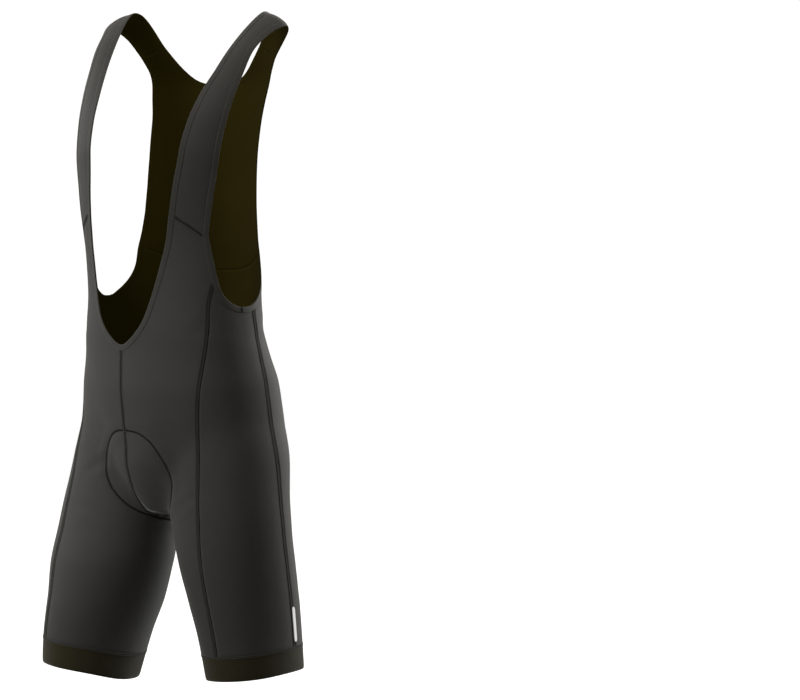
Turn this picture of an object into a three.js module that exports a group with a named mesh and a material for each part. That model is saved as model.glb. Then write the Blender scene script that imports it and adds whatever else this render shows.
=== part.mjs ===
// Cycling bib shorts: a worn, hollow garment in a short stride, right leg forward.
// Millimetres, +Z up. The wearer faces -Y and the wearer's left is +X.
// The origin lies between the tops of the two shoulder straps, where the shoulders hold the garment.
//
// The cloth lies on one closed figure: an oval trunk and two oval legs, joined by a soft fillet.
// Each piece is a grid of points on that figure, given a wall and a small gap at its seams.
// Angles go round one half of the figure from its own leg's axis: 0 front, 90 outer side, 180 back.
import * as THREE from "three";

// Cloth and sewing sizes
const clothWall = 1.4;
const seamGap = 0.3;
const bindingGap = 0.35;
const bindingWidth = 7;
const bindingWall = 2.3;
const bindingProud = 0.5;
const bandHeight = 34;
const bandWall = 1.8;
const tabWidth = 6;
const tabWall = 0.7;

// The figure's shape
const trunkPower = 2.3;
const legPower = 2.15;
const filletSize = 16;
const crotchLevel = -706;
const twistAngle = THREE.MathUtils.degToRad(18);
const twistStart = -430;
const twistEnd = -190;

// Grid counts
const frontColumns = 7;
const sideColumns = 6;
const seatColumns = 6;
const waistColumns = 3;
const bodyRows = 26;
const innerLegRows = 8;
const bibFrontRows = 4;
const neckRows = 10;
const bibBackRows = 14;
const shoulderColumns = 4;
const strapRows = 22;
const strapBlendRows = 7;
const bandRows = 2;

// A table has named columns, its first column rises or falls all the way, and at() reads it smoothly.
function table(names, rows) {
  const keys = names.split(" ");
  const ordered = rows[0][0] < rows[rows.length - 1][0] ? rows : [...rows].reverse();
  const place = ordered.map((row) => row[0]);
  const slopes = keys.map((key, column) => monotoneSlopes(place, ordered.map((row) => row[column])));
  return {
    first: rows[0][0],
    last: rows[rows.length - 1][0],
    at(name, where) {
      const column = keys.indexOf(name);
      const w = Math.min(Math.max(where, place[0]), place[place.length - 1]);
      let i = 0;
      while (i < place.length - 2 && w > place[i + 1]) i += 1;
      const h = place[i + 1] - place[i];
      const t = (w - place[i]) / h;
      const [a, b] = [ordered[i][column], ordered[i + 1][column]];
      const [ma, mb] = [slopes[column][i] * h, slopes[column][i + 1] * h];
      return a + t * (ma + t * (3 * (b - a) - 2 * ma - mb + t * (2 * (a - b) + ma + mb)));
    },
  };
}

// Slopes of a smooth curve through the points that never overshoots them
function monotoneSlopes(x, y) {
  const steps = x.slice(1).map((value, i) => (y[i + 1] - y[i]) / (value - x[i]));
  return x.map((_, i) => {
    if (i === 0) return steps[0];
    if (i === x.length - 1) return steps[i - 1];
    const [a, b] = [steps[i - 1], steps[i]];
    return a * b <= 0 ? 0 : (2 * a * b) / (a + b);
  });
}

// Trunk sections: half the width, and how far the front and the back lie from the middle
const trunk = table("level halfWidth front back", [
  [-40, 175, 60, 100],
  [-70, 165, 70, 105],
  [-100, 150, 80, 111],
  [-130, 144, 92, 104],
  [-160, 141, 102, 97],
  [-200, 136, 116, 91],
  [-240, 133, 117, 85],
  [-280, 132.5, 112, 80],
  [-320, 135, 104, 81],
  [-360, 138, 99, 87],
  [-400, 141, 97, 91],
  [-440, 146, 97.5, 92],
  [-480, 151, 96, 101],
  [-520, 154, 96.5, 115],
  [-560, 148, 93, 121],
  [-600, 126, 88, 126],
  [-625, 100, 87, 127],
  [-650, 74, 81, 100],
  [-670, 54, 73, 48],
  [-685, 38, 62, 14],
  [-698, 22, 46, -8],
  [-706, 8, 30, -22],
]);

// Leg sections: where each leg's axis is, and half its width and depth
const legs = table("level leftX leftY leftWidth leftDepth rightX rightY rightWidth rightDepth", [
  [-40, 56, 0, 20, 20, 56, 0, 20, 20],
  [-280, 56, 0, 20, 20, 56, 0, 20, 20],
  [-400, 62, 0, 42, 42, 62, 0, 42, 42],
  [-440, 66, 5, 58, 60, 66, 5, 58, 60],
  [-480, 69, 9, 70, 74, 71, 9, 70, 74],
  [-520, 72, 12, 80, 84, 77, 12, 80, 84],
  [-570, 77, 19, 83, 86, 82, 9, 83, 86],
  [-620, 84, 22.7, 84.5, 85.5, 85.5, -1.6, 84.5, 85.5],
  [-670, 88.4, 22.5, 83.5, 82.4, 85.8, -18.7, 83.5, 82.4],
  [-720, 91.9, 26, 80, 81.2, 82, -36, 81, 84],
  [-770, 92.7, 34.5, 74.4, 81.9, 76.5, -52.5, 76, 89],
  [-820, 93.7, 45.4, 65.7, 81.2, 74, -65, 66, 88.5],
  [-870, 94.5, 55.6, 57.5, 78.8, 75.5, -79, 58, 83],
  [-940, 95.5, 66, 50, 76, 76, -93, 50, 73],
]);

// Seams down the figure, by angle
const seams = table("level front outerLeft outerRight back", [
  [-330, 64, 112, 112, 165],
  [-380, 58.5, 111, 113, 168],
  [-445, 50.7, 108, 109, 168],
  [-499, 41.5, 108, 108, 164],
  [-545, 34, 108, 110, 167],
  [-600, 27, 106, 107, 178],
  [-640, 24, 108, 104, 182],
  [-706, 19, 112, 98, 181],
  [-773, 14.5, 117, 94, 179],
  [-827, 13, 123, 92, 178],
  [-892, 12, 128, 92, 177],
  [-940, 12, 129, 92, 177],
]);

// The neck opening's edge on the front, by distance from the middle
const neckEdge = table("level across", [
  [-286.5, 76.6],
  [-320, 77],
  [-360, 73],
  [-401, 64.5],
  [-428, 55],
  [-449, 39],
  [-465, 19],
  [-470.5, 8],
  [-472, 0],
]);

// The armhole's front edge above the side seam, and its low edge round the side
const armholeFront = table("level angle", [
  [-313.5, 40.2],
  [-347, 49.5],
  [-365, 54.4],
  [-380, 58.5],
]);
const armholeLow = {
  left: table("angle level", [
    [58.5, -380],
    [62, -391],
    [68, -402.5],
    [78, -413],
    [88, -418],
    [99, -418],
    [112, -412],
    [126, -399],
    [138, -379],
    [143.5, -360],
    [145.3, -341],
  ]),
  right: table("angle level", [
    [58.5, -380],
    [62, -391],
    [68, -401],
    [78, -408.5],
    [88, -408.5],
    [99, -401],
    [112, -387],
    [124, -364],
    [131, -334],
  ]),
};

// The back bib: its armhole edges, its neck scoop and the seam at its waist
const bibSide = {
  left: table("level across", [
    [-65, 106],
    [-90, 94.5],
    [-120, 89],
    [-160, 84],
    [-200, 82],
    [-240, 84],
    [-280, 89.5],
    [-320, 95],
    [-341, 101],
  ]),
  right: table("level across", [
    [-65, 106],
    [-90, 94.5],
    [-120, 89.5],
    [-160, 85],
    [-200, 85],
    [-240, 88],
    [-280, 95],
    [-300, 101.5],
    [-320, 109],
    [-334, 115],
  ]),
};
const bibScoop = table("across level", [
  [0, -113],
  [21, -111],
  [40, -104.5],
  [56.5, -91.5],
  [71.5, -74],
  [86, -55],
]);
const waistSeam = table("across level", [
  [0, -365],
  [40, -363],
  [60, -359],
  [78, -353.5],
  [101, -341],
  [115, -334],
]);

// The shoulder strap from its front seam over the shoulder to its back seam
const strap = table("place neckX neckY neckZ armX armY armZ crown", [
  [0, 72, -99, -283, 117, -61, -317, 3],
  [45, 71, -103.5, -240, 116, -68, -262, 3.5],
  [90, 73, -102, -200, 117.5, -70, -214, 4],
  [132, 77, -89, -160, 121, -60, -165, 4],
  [175, 83, -64, -120, 125, -41, -120, 4],
  [215, 89.5, -39, -90, 128, -23, -90, 4],
  [254, 95, -12, -60, 131, -3, -60, 4],
  [294, 101, 17, -33, 137, 23, -39, 4],
  [324, 106, 43, -14, 145, 43, -28, 4],
  [343, 108, 62, -6, 149, 56, -24, 4],
  [360, 105, 77, -9, 145, 68, -29, 4],
  [381, 97, 88, -23, 132, 79, -42, 3.5],
  [420, 80, 96.3, -52, 112, 85, -68, 3],
]);

// Hem of each leg: its middle level, and how much higher its front and its outer side are
const hems = {
  left: { level: -923, frontRise: -6, outerRise: 1 },
  right: { level: -918, frontRise: 9, outerRise: 11 },
};
const scoopEnd = 86;
const outerTopLevel = -412;
const tabTop = -827;
const tabBottom = -877;

// The middle plane's direction from each leg's axis, just under the crotch
const inward = { left: -61, right: -91 };
const innerHemAngle = -84;

const sides = { left: { sign: 1, outer: "outerLeft" }, right: { sign: -1, outer: "outerRight" } };
const mix = (a, b, t) => a + (b - a) * t;
const radians = THREE.MathUtils.degToRad;
const degrees = THREE.MathUtils.radToDeg;

// How far a point lies outside an oval, along the ray from the oval's middle
function outsideOval(dx, dy, halfWidth, halfDepth, power) {
  const distance = Math.hypot(dx, dy) || 1e-6;
  const scaled = (Math.abs(dx) / halfWidth) ** power + (Math.abs(dy) / halfDepth) ** power;
  return distance - distance / scaled ** (1 / power);
}

// The figure before it is twisted: negative inside, zero on the cloth
function figure(x, y, z) {
  const outsideLeg = (side) => outsideOval(
    x - sides[side].sign * legs.at(`${side}X`, z),
    y - legs.at(`${side}Y`, z),
    legs.at(`${side}Width`, z),
    legs.at(`${side}Depth`, z),
    legPower,
  );
  const leg = Math.min(outsideLeg("left"), outsideLeg("right"));
  if (z < crotchLevel) return leg;
  const front = trunk.at("front", z);
  const back = trunk.at("back", z);
  const middle = (back - front) / 2;
  const body = z < -450
    ? outsideOval(x, y - middle, trunk.at("halfWidth", z), (front + back) / 2, trunkPower)
    : outsideOval(x, y, trunk.at("halfWidth", z), y < 0 ? front : back, trunkPower);
  const near = Math.max(filletSize - Math.abs(leg - body), 0) / filletSize;
  return Math.min(leg, body) - (near * near * filletSize) / 4;
}

// The shoulders turn a little toward the wearer's left above the waist
function twisted(point, direction = 1) {
  const t = THREE.MathUtils.smoothstep(point.z, twistStart, twistEnd);
  return point.applyAxisAngle(new THREE.Vector3(0, 0, 1), direction * twistAngle * t);
}

function clothNormal(point) {
  const step = 0.5;
  const value = (dx, dy, dz) => {
    const p = twisted(new THREE.Vector3(point.x + dx, point.y + dy, point.z + dz), -1);
    return figure(p.x, p.y, p.z);
  };
  return new THREE.Vector3(
    value(step, 0, 0) - value(-step, 0, 0),
    value(0, step, 0) - value(0, -step, 0),
    value(0, 0, step) - value(0, 0, -step),
  ).normalize();
}

// Where the figure's surface crosses a line from inside it, found by halving
function crossing(valueAt, near, far) {
  const coarse = 40;
  let low = near;
  let high = far;
  for (let i = 1; i <= coarse; i += 1) {
    const reach = mix(near, far, i / coarse);
    if (valueAt(reach) > 0) {
      high = reach;
      break;
    }
    low = reach;
  }
  for (let i = 0; i < 30; i += 1) {
    const reach = (low + high) / 2;
    if (valueAt(reach) > 0) high = reach;
    else low = reach;
  }
  return (low + high) / 2;
}

// A point on one half of the figure; the half ends at the middle plane
function onBody(side, angle, level) {
  const { sign } = sides[side];
  const middleX = legs.at(`${side}X`, level);
  const middleY = legs.at(`${side}Y`, level);
  const across = Math.sin(radians(angle));
  const along = -Math.cos(radians(angle));
  const farthest = across < -1e-6 ? Math.min(260, -middleX / across) : 260;
  const reach = crossing(
    (r) => figure(sign * (middleX + r * across), middleY + r * along, level),
    0,
    farthest,
  );
  const xHere = Math.max(middleX + reach * across, 0);
  return twisted(new THREE.Vector3(sign * xHere, middleY + reach * along, level));
}

function angleTo(side, x, y, level) {
  return degrees(Math.atan2(x - legs.at(`${side}X`, level), legs.at(`${side}Y`, level) - y));
}

// The middle seam's place at one level: way is -1 for the front and 1 for the back
function middleY(level, way) {
  const start = (trunk.at("back", level) - trunk.at("front", level)) / 2;
  return start + way * crossing((r) => figure(0, start + way * r, level), 0, 220);
}

function middleAngle(side, level, way) {
  if (level <= crotchLevel) {
    const t = (level - crotchLevel) / (hems[side].level - crotchLevel);
    return mix(inward[side], innerHemAngle, t) + (way > 0 ? 360 : 0);
  }
  const angle = angleTo(side, 0, middleY(level, way), level);
  return way > 0 ? angle + 360 : angle;
}

// The neck edge's angle, from its distance across the front
function neckAngle(side, level) {
  const across = neckEdge.at("across", level);
  const share = 1 - (across / trunk.at("halfWidth", level)) ** trunkPower;
  return angleTo(side, across, -trunk.at("front", level) * share ** (1 / trunkPower), level);
}

function hemLevel(side, angle) {
  const { level, frontRise, outerRise } = hems[side];
  return level + frontRise * Math.cos(radians(angle)) + outerRise * Math.sin(radians(angle));
}

function bandTop(side, angle) {
  return hemLevel(side, angle) + bandHeight;
}

// Places at equal distances along a path of [angle, level] pairs on one side of the figure
function evenly(side, path, count) {
  const fine = 160;
  const samples = Array.from({ length: fine + 1 }, (_, i) => path(i / fine));
  const lengths = [0];
  samples.forEach(([angle, level], i) => {
    if (i === 0) return;
    const [a, b] = samples[i - 1];
    lengths.push(lengths[i - 1] + onBody(side, a, b).distanceTo(onBody(side, angle, level)));
  });
  return Array.from({ length: count + 1 }, (_, k) => {
    const wanted = (lengths[fine] * k) / count;
    let i = 1;
    while (i < fine && lengths[i] < wanted) i += 1;
    const t = (wanted - lengths[i - 1]) / (lengths[i] - lengths[i - 1]);
    return [mix(samples[i - 1][0], samples[i][0], t), mix(samples[i - 1][1], samples[i][1], t)];
  });
}

// A seam's places from one level down to the hem band
function seamPlaces(side, name, top, count) {
  const angleAt = (level) => seams.at(name, level);
  let bottom = bandTop(side, angleAt(hems[side].level + bandHeight));
  bottom = bandTop(side, angleAt(bottom));
  return evenly(side, (t) => {
    const level = mix(top, bottom, t);
    return [angleAt(level), level];
  }, count);
}

// The middle seam from a level down to the crotch; its lowest stretch is nearly level
function middlePlaces(side, top, way, count) {
  return evenly(side, (t) => {
    const level = mix(top, crotchLevel, 1 - (1 - t) ** 2);
    return [middleAngle(side, Math.max(level, crotchLevel + 0.02), way), level];
  }, count);
}

// The line down the inner leg, where the panel runs through with no seam
function innerPlaces(side, way) {
  const angle = innerHemAngle + (way > 0 ? 360 : 0);
  const bottom = bandTop(side, angle);
  return evenly(side, (t) => {
    const level = mix(crotchLevel, bottom, t);
    return [middleAngle(side, level - 0.01, way), level];
  }, innerLegRows);
}

// A grid between two edges of equal count. Its first and last rows follow their own edge curves.
function panelPlaces(first, second, columns, topLevel, bottomLevel) {
  const rows = first.length - 1;
  const straight = (i, t) => [mix(first[i][0], second[i][0], t), mix(first[i][1], second[i][1], t)];
  return first.map((_, i) => Array.from({ length: columns + 1 }, (__, j) => {
    const t = j / columns;
    const [angle, level] = straight(i, t);
    const [topAngle, topStraight] = straight(0, t);
    const [bottomAngle, bottomStraight] = straight(rows, t);
    const topFade = Math.max(1 - i / 7, 0) ** 2;
    const bottomFade = Math.max(1 - (rows - i) / 10, 0);
    const rise = topLevel ? (topLevel(topAngle) - topStraight) * topFade : 0;
    const drop = (bottomLevel(bottomAngle) - bottomStraight) * bottomFade;
    return [angle, level + rise + drop];
  }));
}

// An open surface: points, their outward directions and quads that face out
class Surface {
  constructor() {
    this.points = [];
    this.normals = [];
    this.quads = [];
  }

  add(point, normal) {
    this.points.push(point);
    this.normals.push(normal);
    return this.points.length - 1;
  }

  // Joins a grid of point numbers with quads; flip turns them to face the other way
  join(grid, flip = false) {
    for (let i = 0; i + 1 < grid.length; i += 1) {
      for (let j = 0; j + 1 < grid[i].length; j += 1) {
        const quad = [grid[i][j], grid[i + 1][j], grid[i + 1][j + 1], grid[i][j + 1]];
        this.quads.push(flip ? quad.reverse() : quad);
      }
    }
  }

  // Edges that belong to one quad, from each edge's first point to its second
  openEdges() {
    const edges = new Map();
    const key = (a, b) => `${a} ${b}`;
    this.quads.forEach((quad) => quad.forEach((a, k) => edges.set(key(a, quad[(k + 1) % 4]), [a, quad[(k + 1) % 4]])));
    return [...edges.values()].filter(([a, b]) => !edges.has(key(b, a)));
  }

  // Moves the open edges inward, so that neighbours lie a seam gap apart
  inset(distance) {
    const next = new Map(this.openEdges());
    const previous = new Map([...next].map(([a, b]) => [b, a]));
    const moves = [...next.keys()].map((v) => {
      const normal = this.normals[v];
      const along = (a, b) => this.points[b].clone().sub(this.points[a]).normalize();
      const one = normal.clone().cross(along(previous.get(v), v));
      const two = normal.clone().cross(along(v, next.get(v)));
      return [v, one.clone().add(two).multiplyScalar(distance / (1 + Math.max(one.dot(two), -0.3)))];
    });
    moves.forEach(([v, move]) => {
      this.points[v] = this.points[v].clone().add(move);
    });
    return this;
  }

  // The closed solid between two distances along the outward directions
  solid(outer, inner) {
    const count = this.points.length;
    const positions = [outer, inner].flatMap((offset) => this.points.flatMap((point, i) => {
      const moved = point.clone().addScaledVector(this.normals[i], offset);
      return [moved.x, moved.y, moved.z];
    }));
    const faces = [];
    const addQuad = (a, b, c, d) => faces.push(a, b, c, a, c, d);
    this.quads.forEach(([a, b, c, d]) => {
      addQuad(a, b, c, d);
      addQuad(count + d, count + c, count + b, count + a);
    });
    this.openEdges().forEach(([a, b]) => addQuad(b, a, count + a, count + b));
    const geometry = new THREE.BufferGeometry();
    geometry.setAttribute("position", new THREE.Float32BufferAttribute(positions, 3));
    geometry.setIndex(faces);
    geometry.computeVertexNormals();
    return geometry;
  }
}

// Adds a grid of places on the figure to a surface and gives the point numbers
function addPlaces(surface, side, places, shared = () => undefined) {
  return places.map((row, i) => row.map(([angle, level], j) => {
    const known = shared(i, j);
    if (known !== undefined) return known;
    const point = onBody(side, angle, level);
    return surface.add(point, clothNormal(point));
  }));
}

// Front, inner leg and seat in one piece. The two upper parts meet at the crotch.
function makeMainPanel(side) {
  const rightSide = side === "right";
  const neckToMiddle = evenly(side, (t) => {
    const level = mix(neckEdge.first, neckEdge.last + 0.01, t);
    return [neckAngle(side, level), level];
  }, neckRows);
  const front = [
    ...neckToMiddle.slice(0, -1),
    ...middlePlaces(side, neckEdge.last, -1, bibFrontRows + bodyRows - neckRows - innerLegRows),
    ...innerPlaces(side, -1).slice(1),
  ];
  const armhole = evenly(side, (t) => {
    const level = mix(armholeFront.first, armholeFront.last, t);
    return [armholeFront.at("angle", level), level];
  }, bibFrontRows);
  const frontSeam = [...armhole.slice(0, -1), ...seamPlaces(side, "front", armholeFront.last, bodyRows)];
  const frontPlaces = panelPlaces(front, frontSeam, frontColumns, null, (angle) => bandTop(side, angle));

  const seat = [
    ...middlePlaces(side, waistSeam.at("level", 0), 1, bodyRows - innerLegRows),
    ...innerPlaces(side, 1).slice(1),
  ];
  const backSeam = seamPlaces(side, "back", backSeamTop(side), bodyRows);
  const seatPlaces = panelPlaces(
    seat, backSeam, seatColumns, (angle) => waistLevel(side, angle), (angle) => bandTop(side, angle),
  );

  const surface = new Surface();
  const frontGrid = addPlaces(surface, side, frontPlaces);
  const crotchRow = bodyRows - innerLegRows;
  const seatGrid = addPlaces(surface, side, seatPlaces, (i, j) =>
    j === 0 && i >= crotchRow ? frontGrid[i + bibFrontRows][0] : undefined);
  surface.join(frontGrid, rightSide);
  surface.join(seatGrid, !rightSide);
  return {
    surface,
    neckEdge: frontGrid.slice(0, neckRows + 1).map((row) => row[0]),
    armholeEdge: frontGrid.slice(0, bibFrontRows + 1).map((row) => row[frontColumns]),
    top: frontGrid[0],
  };
}

// The waist seam's level at an angle, found from its distance across
function waistLevel(side, angle) {
  let level = waistSeam.at("level", 60);
  for (let i = 0; i < 6; i += 1) {
    const across = Math.abs(untwistedX(side, angle, level));
    level = waistSeam.at("level", across);
  }
  return level;
}

function untwistedX(side, angle, level) {
  return twisted(onBody(side, angle, level), -1).x;
}

function backSeamTop(side) {
  return waistLevel(side, seams.at("back", waistSeam.at("level", 78)));
}

// Between the front seam and the outer seam, under the armhole
function makeSideFront(side) {
  const { outer } = sides[side];
  const outerTop = outerSeamTop(side);
  const first = seamPlaces(side, "front", armholeFront.last, bodyRows);
  const second = seamPlaces(side, outer, outerTop, bodyRows);
  const places = panelPlaces(
    first, second, sideColumns, (angle) => armholeLow[side].at("level", angle), (angle) => bandTop(side, angle),
  );
  const surface = new Surface();
  const grid = addPlaces(surface, side, places);
  surface.join(grid, side === "right");
  return { surface, armholeEdge: grid[0] };
}

function outerSeamTop(side) {
  return armholeLow[side].at("level", seams.at(sides[side].outer, outerTopLevel));
}

// Between the outer seam and the back seam; its top follows the armhole, then the waist seam
function makeSideBack(side) {
  const armholeColumns = sideColumns - waistColumns;
  const cornerShare = armholeColumns / sideColumns;
  const first = seamPlaces(side, sides[side].outer, outerSeamTop(side), bodyRows);
  const second = seamPlaces(side, "back", backSeamTop(side), bodyRows);
  const corner = armholeLow[side].last;
  const [startAngle, endAngle] = [first[0][0], second[0][0]];
  const topAngle = (t) => (t < cornerShare
    ? mix(startAngle, corner, t / cornerShare)
    : mix(corner, endAngle, (t - cornerShare) / (1 - cornerShare)));
  const topLevel = (angle) => (angle <= corner ? armholeLow[side].at("level", angle) : waistLevel(side, angle));
  const even = panelPlaces(first, second, sideColumns, null, (angle) => bandTop(side, angle));
  const places = even.map((row, i) => row.map(([angle, level], j) => {
    const t = j / sideColumns;
    const fade = Math.max(1 - i / 8, 0) ** 1.5;
    const wanted = topAngle(t);
    return [angle + (wanted - mix(startAngle, endAngle, t)) * fade,
      level + (topLevel(wanted) - mix(first[0][1], second[0][1], t)) * fade];
  }));
  const surface = new Surface();
  const grid = addPlaces(surface, side, places);
  surface.join(grid, side === "right");
  return { surface, armholeEdge: grid[0].slice(0, armholeColumns + 1) };
}

// A point on the back of the trunk from its distance across and its level
function onBack(x, level) {
  const share = 1 - Math.min(Math.abs(x) / trunk.at("halfWidth", level), 0.999) ** trunkPower;
  return twisted(new THREE.Vector3(x, trunk.at("back", level) * share ** (1 / trunkPower), level));
}

// One half of the back bib as [across, level] places, from the middle out to the armhole edge
function bibHalf(side) {
  const scoopColumns = seatColumns + waistColumns - shoulderColumns;
  const columns = seatColumns + waistColumns;
  const armhole = bibSide[side];
  const corner = armhole.at("across", armhole.first);
  const top = [];
  for (let j = 0; j <= scoopColumns; j += 1) {
    const across = scoopEnd * Math.sin((Math.PI / 2) * (j / scoopColumns));
    top.push([across, bibScoop.at("level", across)]);
  }
  for (let j = 1; j <= shoulderColumns; j += 1) {
    const t = j / shoulderColumns;
    top.push([mix(scoopEnd, corner, t), mix(bibScoop.at("level", scoopEnd), armhole.first, t)]);
  }
  const seamTop = backSeamTop(side);
  const seamAcross = Math.abs(untwistedX(side, seams.at("back", seamTop), seamTop));
  const bottom = [];
  for (let j = 0; j <= columns; j += 1) {
    const across = j <= seatColumns
      ? (seamAcross * j) / seatColumns
      : mix(seamAcross, armhole.at("across", armhole.last), (j - seatColumns) / waistColumns);
    bottom.push([across, waistSeam.at("level", across)]);
  }
  return Array.from({ length: bibBackRows + 1 }, (_, i) => {
    const v = i / bibBackRows;
    const level = mix(armhole.first, armhole.last, v);
    const edge = [armhole.at("across", level), level];
    return top.map((_place, j) => [0, 1].map((axis) => {
      const straight = mix(top[j][axis], bottom[j][axis], v);
      const edgeMiss = edge[axis] - mix(top[columns][axis], bottom[columns][axis], v);
      return straight + (edgeMiss * j) / columns;
    }));
  });
}

// The back bib: one panel between the armholes, from the waist seam to the strap seams and the scoop
function makeBackBib() {
  const columns = seatColumns + waistColumns;
  const [left, right] = [bibHalf("left"), bibHalf("right")];
  const surface = new Surface();
  const grid = left.map((row, i) => {
    const whole = [...right[i].slice(1).reverse().map(([x, z]) => [-x, z]), ...row];
    return whole.map(([x, z]) => {
      const point = onBack(x, z);
      return surface.add(point, clothNormal(point));
    });
  });
  surface.join(grid, true);
  return {
    surface,
    scoopEdge: grid[0].slice(shoulderColumns, 2 * columns + 1 - shoulderColumns),
    armholeEdge: { right: grid.map((row) => row[0]), left: grid.map((row) => row[2 * columns]) },
    shoulder: {
      left: grid[0].slice(2 * columns - shoulderColumns),
      right: grid[0].slice(0, shoulderColumns + 1).reverse(),
    },
  };
}

// A point on the strap: place runs along it, t runs from its neck edge to its armhole edge
function onStrap(side, place, t) {
  const { sign } = sides[side];
  const read = (name) => strap.at(name, place);
  const neck = new THREE.Vector3(read("neckX"), read("neckY"), read("neckZ"));
  const arm = new THREE.Vector3(read("armX"), read("armY"), read("armZ"));
  const ahead = new THREE.Vector3(
    strap.at("neckX", place + 4) - strap.at("neckX", place - 4),
    strap.at("neckY", place + 4) - strap.at("neckY", place - 4),
    strap.at("neckZ", place + 4) - strap.at("neckZ", place - 4),
  );
  const out = ahead.cross(arm.clone().sub(neck)).normalize().multiplyScalar(-1);
  const point = neck.lerp(arm, t).addScaledVector(out, read("crown") * 4 * t * (1 - t));
  return twisted(point.multiply(new THREE.Vector3(sign, 1, 1)));
}

function strapNormal(side, place, t) {
  const along = onStrap(side, Math.min(place + 3, strap.last), t).sub(onStrap(side, Math.max(place - 3, 0), t));
  const across = onStrap(side, place, Math.min(t + 0.1, 1)).sub(onStrap(side, place, Math.max(t - 0.1, 0)));
  return across.cross(along).normalize().multiplyScalar(sides[side].sign);
}

// A point and its outward direction part of the way along a row of stops
function alongStops(stops, t) {
  const place = Math.min(t * (stops.length - 1), stops.length - 1.0001);
  const i = Math.floor(place);
  return {
    point: stops[i].point.clone().lerp(stops[i + 1].point, place - i),
    normal: stops[i].normal.clone().lerp(stops[i + 1].normal, place - i),
  };
}

// The strap's ends are drawn onto the panels' top rows, given from the neck edge outward
function makeStrap(side, frontStops, backStops) {
  const surface = new Surface();
  const share = (place, t) => {
    const width = onStrap(side, place, 0).distanceTo(onStrap(side, place, 1));
    return mix(bindingWidth / width, 1 - bindingWidth / width, t);
  };
  const grid = Array.from({ length: strapRows + 1 }, (_, i) => {
    const place = (strap.last * i) / strapRows;
    const [stops, end, rows] = i < strapRows / 2
      ? [frontStops, 0, i]
      : [backStops, strap.last, strapRows - i];
    const pull = 1 - THREE.MathUtils.smoothstep(rows, 0, strapBlendRows);
    return Array.from({ length: shoulderColumns + 1 }, (__, j) => {
      const t = j / shoulderColumns;
      const seam = alongStops(stops, t);
      const miss = seam.point.sub(onStrap(side, end, share(end, t)));
      const point = onStrap(side, place, share(place, t)).addScaledVector(miss, pull);
      const normal = strapNormal(side, place, share(place, t)).lerp(seam.normal, pull).normalize();
      return surface.add(point, normal);
    });
  });
  surface.join(grid, side === "left");
  return {
    surface,
    neckEdge: grid.map((row) => row[0]),
    armholeEdge: grid.map((row) => row[shoulderColumns]),
  };
}

// The hem band: a closed ring under the panels
function makeBand(side) {
  const columns = frontColumns + 2 * sideColumns + seatColumns;
  const start = innerHemAngle;
  const surface = new Surface();
  const grid = Array.from({ length: bandRows + 1 }, (_, i) => {
    const ring = Array.from({ length: columns }, (__, j) => {
      const angle = start + (360 * j) / columns;
      const level = bandTop(side, angle) - (bandHeight * i) / bandRows;
      const point = onBody(side, angle, level);
      return surface.add(point, clothNormal(point));
    });
    return [...ring, ring[0]];
  });
  surface.join(grid, side === "right");
  return surface;
}

// A binding: a flat strip that follows a closed edge of the panels, just outside it
function makeBinding(stops, towardHole) {
  const section = [
    [bindingGap, bindingProud],
    [bindingWidth, bindingProud],
    [bindingWidth, bindingProud - bindingWall],
    [bindingGap, bindingProud - bindingWall],
  ];
  const count = stops.length;
  const positions = [];
  stops.forEach(({ point, normal }, i) => {
    const before = stops[(i + count - 1) % count].point;
    const after = stops[(i + 1) % count].point;
    const one = normal.clone().cross(point.clone().sub(before).normalize());
    const two = normal.clone().cross(after.clone().sub(point).normalize());
    const out = one.clone().add(two).multiplyScalar(towardHole / (1 + one.dot(two)));
    section.forEach(([width, height]) => {
      const corner = point.clone().addScaledVector(out, width).addScaledVector(normal, height);
      positions.push(corner.x, corner.y, corner.z);
    });
  });
  const faces = [];
  stops.forEach((_, i) => {
    const here = i * section.length;
    const there = ((i + 1) % count) * section.length;
    section.forEach((__, k) => {
      const m = (k + 1) % section.length;
      const quad = [here + k, there + k, there + m, here + m];
      const [a, b, c, d] = towardHole > 0 ? quad : quad.reverse();
      faces.push(a, b, c, a, c, d);
    });
  });
  const geometry = new THREE.BufferGeometry();
  geometry.setAttribute("position", new THREE.Float32BufferAttribute(positions, 3));
  geometry.setIndex(faces);
  return geometry;
}

// The stops of one edge of a surface, in the order given
function edgeStops(surface, numbers) {
  return numbers.map((v) => ({ point: surface.points[v], normal: surface.normals[v] }));
}

// Edges one after another; an edge's first stop is left out where it repeats the last one
function chain(edges) {
  const stops = [];
  edges.flat().forEach((stop) => {
    const last = stops[stops.length - 1];
    if (!last || last.point.distanceTo(stop.point) > 4) stops.push(stop);
  });
  while (stops[0].point.distanceTo(stops[stops.length - 1].point) < 4) stops.pop();
  return stops;
}

// A reflective tab over the outer seam, just above the hem band
function makeTab(side) {
  const surface = new Surface();
  const rows = 3;
  const grid = Array.from({ length: rows + 1 }, (_, i) => {
    const level = mix(tabTop, tabBottom, i / rows);
    return [-1, 1].map((way) => {
      const angle = seams.at(sides[side].outer, level) + way * degrees(tabWidth / 2 / 66);
      const point = onBody(side, angle, level);
      return surface.add(point, clothNormal(point));
    });
  });
  surface.join(grid, side === "right");
  return surface;
}

const cloth = new THREE.MeshStandardMaterial({ color: "#2b2b2c", roughness: 0.72, metalness: 0 });
const bandCloth = new THREE.MeshStandardMaterial({ color: "#1f1f1f", roughness: 0.8, metalness: 0 });
const trimCloth = new THREE.MeshStandardMaterial({ color: "#181818", roughness: 0.75, metalness: 0 });
const reflective = new THREE.MeshStandardMaterial({ color: "#d8dadb", roughness: 0.35, metalness: 0.2 });

const garment = new THREE.Group();

function place(name, geometry, material) {
  const mesh = new THREE.Mesh(geometry, material);
  mesh.name = name;
  garment.add(mesh);
}

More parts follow.
